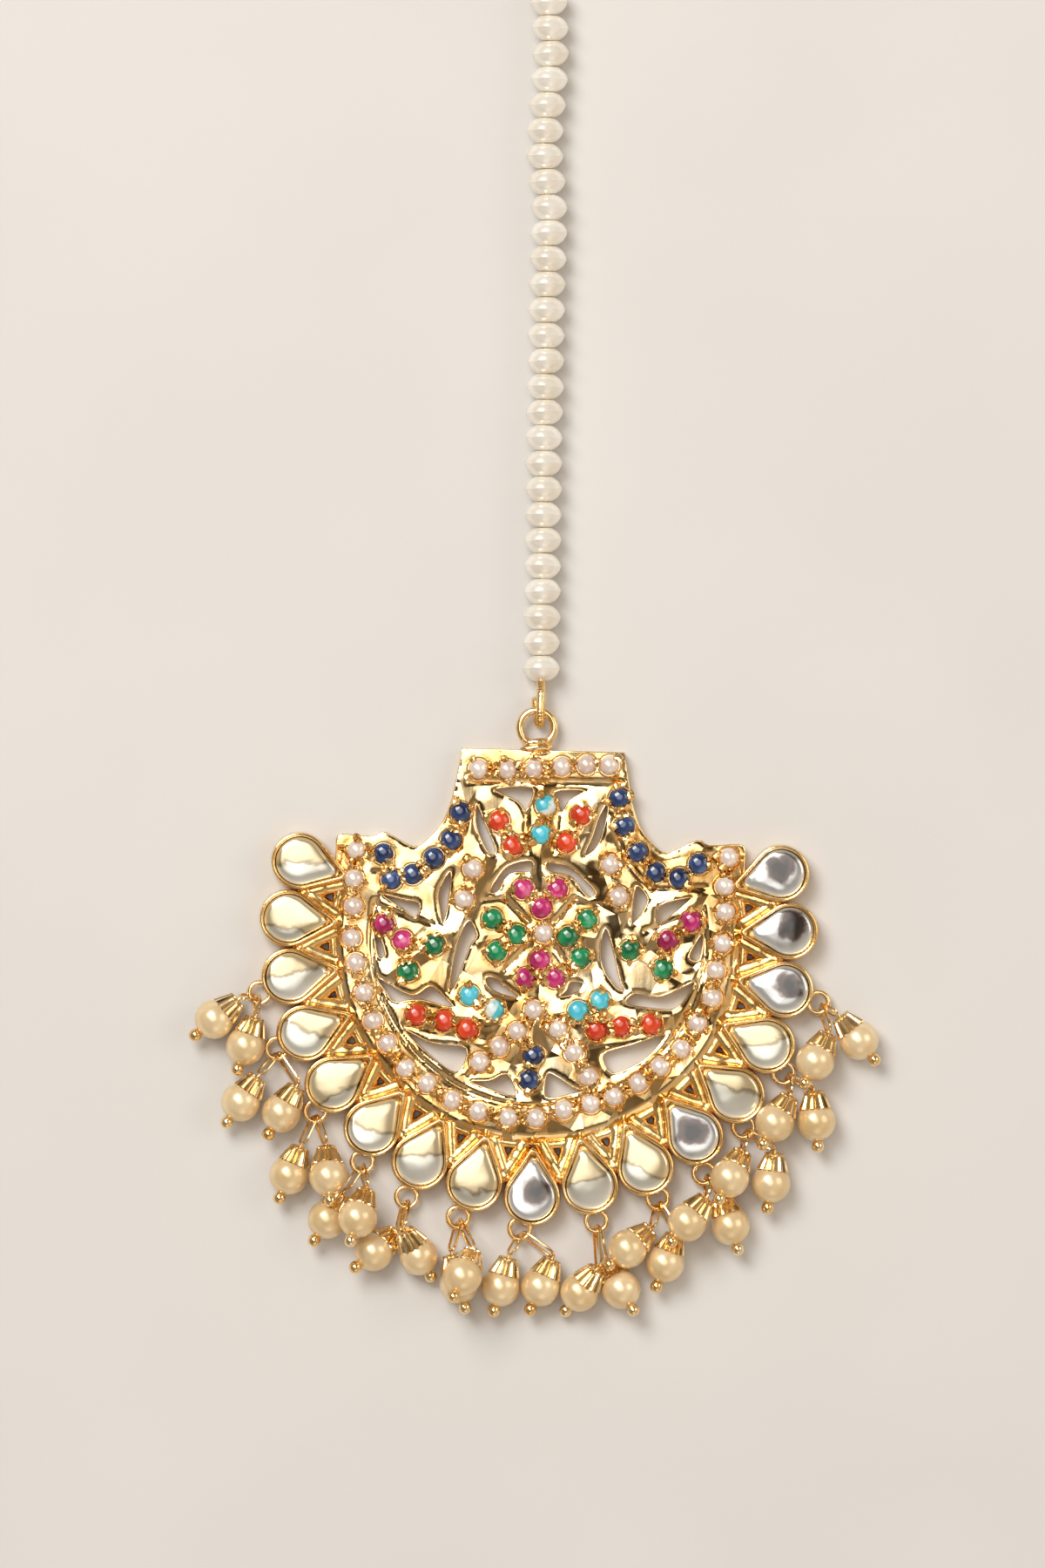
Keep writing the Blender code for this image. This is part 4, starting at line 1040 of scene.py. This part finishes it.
# %% How the drops lie
PEARL_RADIUS = 2.0
DROPS = (
    (0, -2.25, -1.40, 1.00, 221, 0), (0, -0.65, -2.70, 1.00, 252, 0), (1, -1.75, -2.75, 1.00, 237, 0),
    (1, 0.30, -3.25, 1.00, 241, 0), (2, -1.25, -3.25, 1.00, 249, 0), (2, 0.75, -3.25, 1.55, 276, 18),
    (3, -1.70, -2.95, 1.00, 240, 0), (3, -0.15, -2.80, 2.35, 254, 20), (4, -1.60, -2.80, 1.00, 222, 18),
    (4, 0.70, -2.95, 1.00, 301, -18), (5, 0.15, -3.35, 1.00, 285, 0), (5, 0.30, -2.90, 3.00, 248, 30),
    (6, -0.90, -2.95, 1.00, 256, 0), (6, 1.10, -2.90, 1.00, 248, 0), (7, -0.75, -3.60, 1.00, 235, -18),
    (7, 1.35, -3.40, 1.00, 302, 18), (8, -1.45, -2.55, 1.60, 222, 15), (8, 0.45, -3.25, 1.00, 252, 0),
    (9, -0.80, -2.45, 2.00, 233, 5), (9, 1.40, -2.60, 1.00, 289, 0), (10, -0.65, -2.55, 1.85, 245, 20),
    (10, 1.45, -2.80, 1.00, 264, 0), (11, -0.40, -2.50, 1.60, 242, 12), (11, 1.70, -2.40, 1.00, 276, 0),
    (12, -0.10, -2.95, 1.45, 246, 12), (12, 2.10, -1.85, 1.00, 310, 0),
)
drops = []
for ring, east, north, height, ball, rise in DROPS:
    centre = ring_centres[ring].xy.to_3d() + Vector((east, north, height)) * PEARL_RADIUS
    bearing, lift = math.radians(ball), math.radians(rise)
    level = math.cos(lift)
    to_ball = Vector((math.cos(bearing) * level, math.sin(bearing) * level, math.sin(lift)))
    drops.append((ring, centre, -to_ball))
print(len(drops), "drops on", len(ring_centres), "rings")

# %% [markdown]
# The pearl is spun from an arc that dips a little where it is drilled. The cap is a spun cone with a rolled
# top. Every third step of it is pulled in, which leaves the raised flutes of a pressed cap. The pin is spun
# too, with its ball.

# %% Pearls, caps and pins
LOOP_END = PEARL_RADIUS + 0.12 + 1.05 + 0.3
PEARL_BORE = 0.22


def pearl_profile(radius, bore, steps):
    """An arc from one drilled end to the other."""
    rim = math.asin(bore / radius)
    turns = [rim + (math.pi - 2 * rim) * i / steps for i in range(steps + 1)]
    arc = [(radius * math.sin(turn), radius * math.cos(turn)) for turn in turns]
    return arc + [(bore * 0.9, -radius * 0.9), (bore * 0.9, radius * 0.9), arc[0]]


pearl = spun("pearl", pearl_profile(PEARL_RADIUS - 0.02, PEARL_BORE, 18), 32)
cap = spun(
    "cap",
    (
        (0.14, 3.12), (0.62, 3.16), (0.94, 3.1), (1.05, 2.96), (1.0, 2.84), (1.1, 2.7), (1.26, 2.32),
        (1.41, 1.96), (1.54, 1.62), (1.65, 1.36), (1.63, 1.26), (1.54, 1.3), (1.24, 1.6), (0.84, 1.84),
        (0.14, 2.02), (0.14, 3.12),
    ),
    48, fluted=0.11,
)
pin = spun(
    "pin",
    (
        (0.0, LOOP_END), (0.15, LOOP_END), (0.15, 1.9), (0.15, -1.85), (0.42, -1.95), (0.58, -2.16),
        (0.65, -2.48), (0.58, -2.82), (0.38, -3.04), (0.18, -3.12), (0.0, -3.13),
    ),
    16,
)
drop_places = [
    Matrix.Translation(centre) @ axis.to_track_quat("Z", "Y").to_matrix().to_4x4()
    for _, centre, axis in drops
]
pearl_nodes = [f"drop_pearl_{i + 1:02}" for i in range(26)]
wire_nodes = [f"drop_wires_{i + 1:02}" for i in range(13)]
finish_piece("drop_pearls", stamped(pearl, drop_places), champagne_pearl, pearl_nodes)
finish_piece("drop_caps", stamped(cap, drop_places), wire_gold, sharp=20)
placed_pins = stamped(pin, drop_places)

# %% [markdown]
# The two loops of a ring lie side by side at its outer edge, each a long wire turned on edge. They follow
# the same lines as the CAD model's, with rounder ends.

# %% Loops
LOOP_WIRE = 0.15
LOOP_HALF_WIDTH = 0.66
HOLD_REACH = RING_RADIUS - RING_WIRE - LOOP_WIRE - 0.17


def add_loop(bm, start, end):
    """A long closed loop between two points, turned on edge."""
    along = (end - start).normalized()
    side = along.cross(Vector((0, 0, 1))).normalized()
    width = Matrix.Rotation(math.radians(65), 3, along) @ side
    points = []
    for centre, turn in (
        (start + along * LOOP_HALF_WIDTH, math.pi / 2), (end - along * LOOP_HALF_WIDTH, -math.pi / 2)
    ):
        for i in range(9):
            angle = turn + math.pi * i / 8
            points.append(centre + (along * math.cos(angle) + width * math.sin(angle)) * LOOP_HALF_WIDTH)
    drawn_wire(bm, points, LOOP_WIRE, closed=True)


for number, ring in enumerate(ring_centres):
    ends = [centre + axis * LOOP_END for owner, centre, axis in drops if owner == number]
    middle = (ends[0] + ends[1]) / 2
    outward = Vector((middle.x - ring.x, middle.y - ring.y, 0)).normalized()
    aside = Vector((-outward.y, outward.x, 0)) * LOOP_WIRE * 0.4
    for end, shift in zip(ends, (-aside, aside)):
        crossing = ring + outward * RING_RADIUS
        slope = (end.z - crossing.z) / (end - crossing).length
        hold = ring + shift + outward * HOLD_REACH - Vector((0, 0, slope * (RING_RADIUS - HOLD_REACH)))
        add_loop(placed_pins, hold, end)
finish_piece("drop_pins", placed_pins, wire_gold, wire_nodes)

# %% [markdown]
# The string holds twenty-seven ivory beads, each a rondelle: wider than it is long, with a faint ridge
# round its middle. One bead is spun and stamped along the string's slightly wandering line, each turned by
# its own small angle. A thin thread shows between them.

# %% Bead string
STRING_ROUTE = (
    (25.4, 0.25), (37.0, 0.4), (47.0, 0.5), (60.0, 0.75), (73.0, 1.05), (79.0, 0.6), (89.0, 1.2),
    (96.0, 1.0),
)
STRING_START = 25.45
STRING_HEIGHT = 1.93
BEAD_PITCH = 2.587
BEAD_COUNT = 27
THREAD_RADIUS = 0.29


def string_x(y):
    """How far the string strays sideways."""
    if y <= STRING_ROUTE[0][0]:
        return STRING_ROUTE[0][1]
    for (start, first), (end, second) in zip(STRING_ROUTE, STRING_ROUTE[1:]):
        if y <= end:
            share = (y - start) / (end - start)
            return first + (second - first) * share * share * (3 - 2 * share)
    return STRING_ROUTE[-1][1]


half = (
    (0.3, 1.29), (0.62, 1.285), (0.92, 1.22), (1.2, 1.07), (1.46, 0.86), (1.66, 0.62), (1.79, 0.37),
    (1.87, 0.16), (1.9, 0.05),
)
mirrored = tuple((radius, -along) for radius, along in reversed(half))
bead = spun("bead", half + ((1.94, 0.0),) + mirrored + half[:1], 32)
string = bmesh.new()
for i in range(BEAD_COUNT):
    y = STRING_START + (i + 0.5) * BEAD_PITCH
    wander = math.radians(3.5) * math.sin(i * 2.7)
    place = Matrix.Translation((string_x(y), y, STRING_HEIGHT)) @ Matrix.Rotation(wander, 4, "Z")
    size = 0.985 + 0.01 * math.sin(i * 4.1)
    wide = Matrix.Diagonal((size, size, 1.0, 1.0))
    stamp(string, bead, place @ Matrix.Rotation(math.pi / 2, 4, "X") @ wide)
thread = [Vector((string_x(y), y, STRING_HEIGHT)) for y in (25.7 + i * 2.0 for i in range(35))]
drawn_wire(string, thread, THREAD_RADIUS)
finish_piece("bead_string", string, ivory_bead, ["bead_string"], leaning=False)

# %% [markdown]
# The link is a hairpin of gold wire: it leaves the lowest bead, passes over the crown's ring, goes down
# through it and comes back beneath. The hook at the far end is out of the photograph, so it is the plain
# bent wire that such strings have. Both follow the CAD model's points, eased.

# %% Link and hook
LINK_THICK = 0.49
ring_world = LEAN @ TOP_RING
bead_x = string_x(STRING_START)
over = ring_world.z + TOP_RING_WIRE + 0.08 + LINK_THICK
under = ring_world.z - TOP_RING_WIRE - 0.03 - LINK_THICK
wire_y = ring_world.y + TOP_RING_RADIUS
inside = wire_y - TOP_RING_WIRE - 0.2 - LINK_THICK
link_points = [Vector(point) for point in (
    (bead_x, STRING_START + 1.5, STRING_HEIGHT),
    (bead_x, STRING_START - 0.1, STRING_HEIGHT),
    (bead_x, (STRING_START + wire_y) / 2, (STRING_HEIGHT + over) / 2),
    (bead_x - 0.05, wire_y, over),
    (bead_x - 0.1, inside + 0.1, over - 0.3),
    (bead_x - 0.15, inside - 0.2, ring_world.z),
    (bead_x - 0.3, inside + 0.1, under + 0.3),
    (bead_x - 0.45, wire_y, under),
    (bead_x - 0.5, wire_y + 0.7, under + 0.1),
    (bead_x - 0.5, wire_y + 1.2, under + 0.3),
)]
link = bmesh.new()
drawn_wire(link, eased(link_points, steps=9), LINK_THICK, sides=14, scored=0.12)
finish_piece("link_wire", link, collet_gold, ["link_wire"], leaning=False)

HOOK_THICK, HOOK_RADIUS, HOOK_LENGTH = 0.4, 2.3, 12.0
start = STRING_START + BEAD_COUNT * BEAD_PITCH
x = string_x(start)
bend = start + HOOK_LENGTH - HOOK_RADIUS
hook_points = [
    Vector((x, start - 1.5, STRING_HEIGHT)), Vector((x, start + 0.2, STRING_HEIGHT)),
    Vector((x, start + 2.0, 1.158)), Vector((x, start + 3.5, 0.47)),
]
for i in range(9):
    turn = math.pi - math.pi * i / 8
    along, rise = HOOK_RADIUS * math.cos(turn), HOOK_RADIUS * math.sin(turn)
    hook_points.append(Vector((x + HOOK_RADIUS + along, bend + rise, HOOK_THICK)))
hook_points.append(Vector((x + 2 * HOOK_RADIUS, start + 5.0, HOOK_THICK)))
hook = bmesh.new()
drawn_wire(hook, eased(hook_points), HOOK_THICK, sides=12)
finish_piece("hair_hook", hook, wire_gold, ["hair_hook"], leaning=False)

# %% [markdown]
# The stage is plain: a pale matt floor, a grey room that is lighter overhead, and large soft lamps.
# Polished gold shows the room more than itself, so the lamps are wide and the room has a dark band for the
# facets to catch.

# %% Floor
floor_bm = bmesh.new()
bmesh.ops.create_grid(floor_bm, x_segments=2, y_segments=2, size=1.5)
bmesh.ops.translate(floor_bm, vec=(0, 0, -0.0001), verts=floor_bm.verts)
floor = in_scene("floor", kept_shape("floor", floor_bm))
pale_floor = new_material("pale_floor", 0.9)
colour_ramp(pale_floor, pattern(pale_floor, 30.0), ((0.4, (0.715, 0.70, 0.68)), (0.6, (0.73, 0.715, 0.695))))
floor.data.materials.append(pale_floor)

# %% [markdown]
# Three large soft lamps aim at the pendant. The room is two ramps read along the direction of a ray: one is
# brightest almost overhead, with a dark band round that, and the other is a faint light from the right.

# %% Lamps and room
def soft_lamp(name, place, width, power):
    """A square soft lamp aimed at the pendant."""
    lamp = bpy.data.lights.new(name, "AREA")
    lamp.shape = "SQUARE"
    lamp.size = width
    lamp.energy = power
    lamp.color = (1.0, 0.98, 0.95)
    obj = in_scene(name, lamp)
    obj.location = place
    obj.rotation_euler = (Vector((0, 0.01, 0)) - Vector(place)).to_track_quat("-Z", "Y").to_euler()


soft_lamp("key_lamp", (-0.3, 0.4, 0.7), 0.4, 4.8)
soft_lamp("fill_lamp", (0.6, 0.2, 0.5), 0.4, 0.9)
soft_lamp("low_lamp", (0.1, -0.7, 0.4), 0.4, 0.3)

room = bpy.data.worlds.new("room")
bpy.context.scene.world = room
room.use_nodes = True
tree = room.node_tree
where = tree.nodes.new("ShaderNodeTexCoord")


def glow(direction, stops):
    """A colour that depends on how near a ray runs to a direction, warmer where it is darker."""
    near = tree.nodes.new("ShaderNodeVectorMath")
    near.operation = "DOT_PRODUCT"
    near.inputs[1].default_value = Vector(direction).normalized()
    tree.links.new(where.outputs["Generated"], near.inputs[0])
    tinted = []
    for place, light in stops:
        warmth = max(0.0, 1.0 - light * 2.0)
        tinted.append((place, (light, light * (0.985 - 0.3 * warmth), light * (0.96 - 0.6 * warmth))))
    ramp = filled_ramp(tree.nodes, tinted)
    tree.links.new(near.outputs["Value"], ramp.inputs["Fac"])
    return ramp.outputs["Color"]


overhead = glow(
    (-0.1, 0.16, 1), ((0.2, 0.24), (0.7, 0.28), (0.87, 0.035), (0.935, 0.05), (0.962, 1.2), (0.982, 2.0))
)
sideways = glow((0.7, -0.5, 0.5), ((0.5, 0.0), (0.9, 0.22)))
both = tree.nodes.new("ShaderNodeMix")
both.data_type = "RGBA"
both.blend_type = "ADD"
with_sockets(both, Factor=1.0)
tree.links.new(overhead, both.inputs["A"])
tree.links.new(sideways, both.inputs["B"])
tree.links.new(both.outputs["Result"], tree.nodes["Background"].inputs["Color"])
tree.nodes["Background"].inputs["Strength"].default_value = 1.25

# %% [markdown]
# The photograph was taken from straight above with the string running out at the top. A long lens far away
# keeps the drawing true, and the frame is 105.6 by 158.4 millimetres.

# %% Camera
FRAME_HEIGHT, CAMERA_AWAY, SENSOR = 0.1584, 1.5, 36.0
camera_data = bpy.data.cameras.new("camera")
camera_data.sensor_width = SENSOR
camera_data.lens = SENSOR * CAMERA_AWAY / FRAME_HEIGHT
camera_data.clip_end = 10.0
camera = in_scene("camera", camera_data)
camera.location = (-0.00163, 0.01505, CAMERA_AWAY + 0.002)
bpy.context.scene.camera = camera
bpy.context.scene.view_settings.view_transform = "Standard"
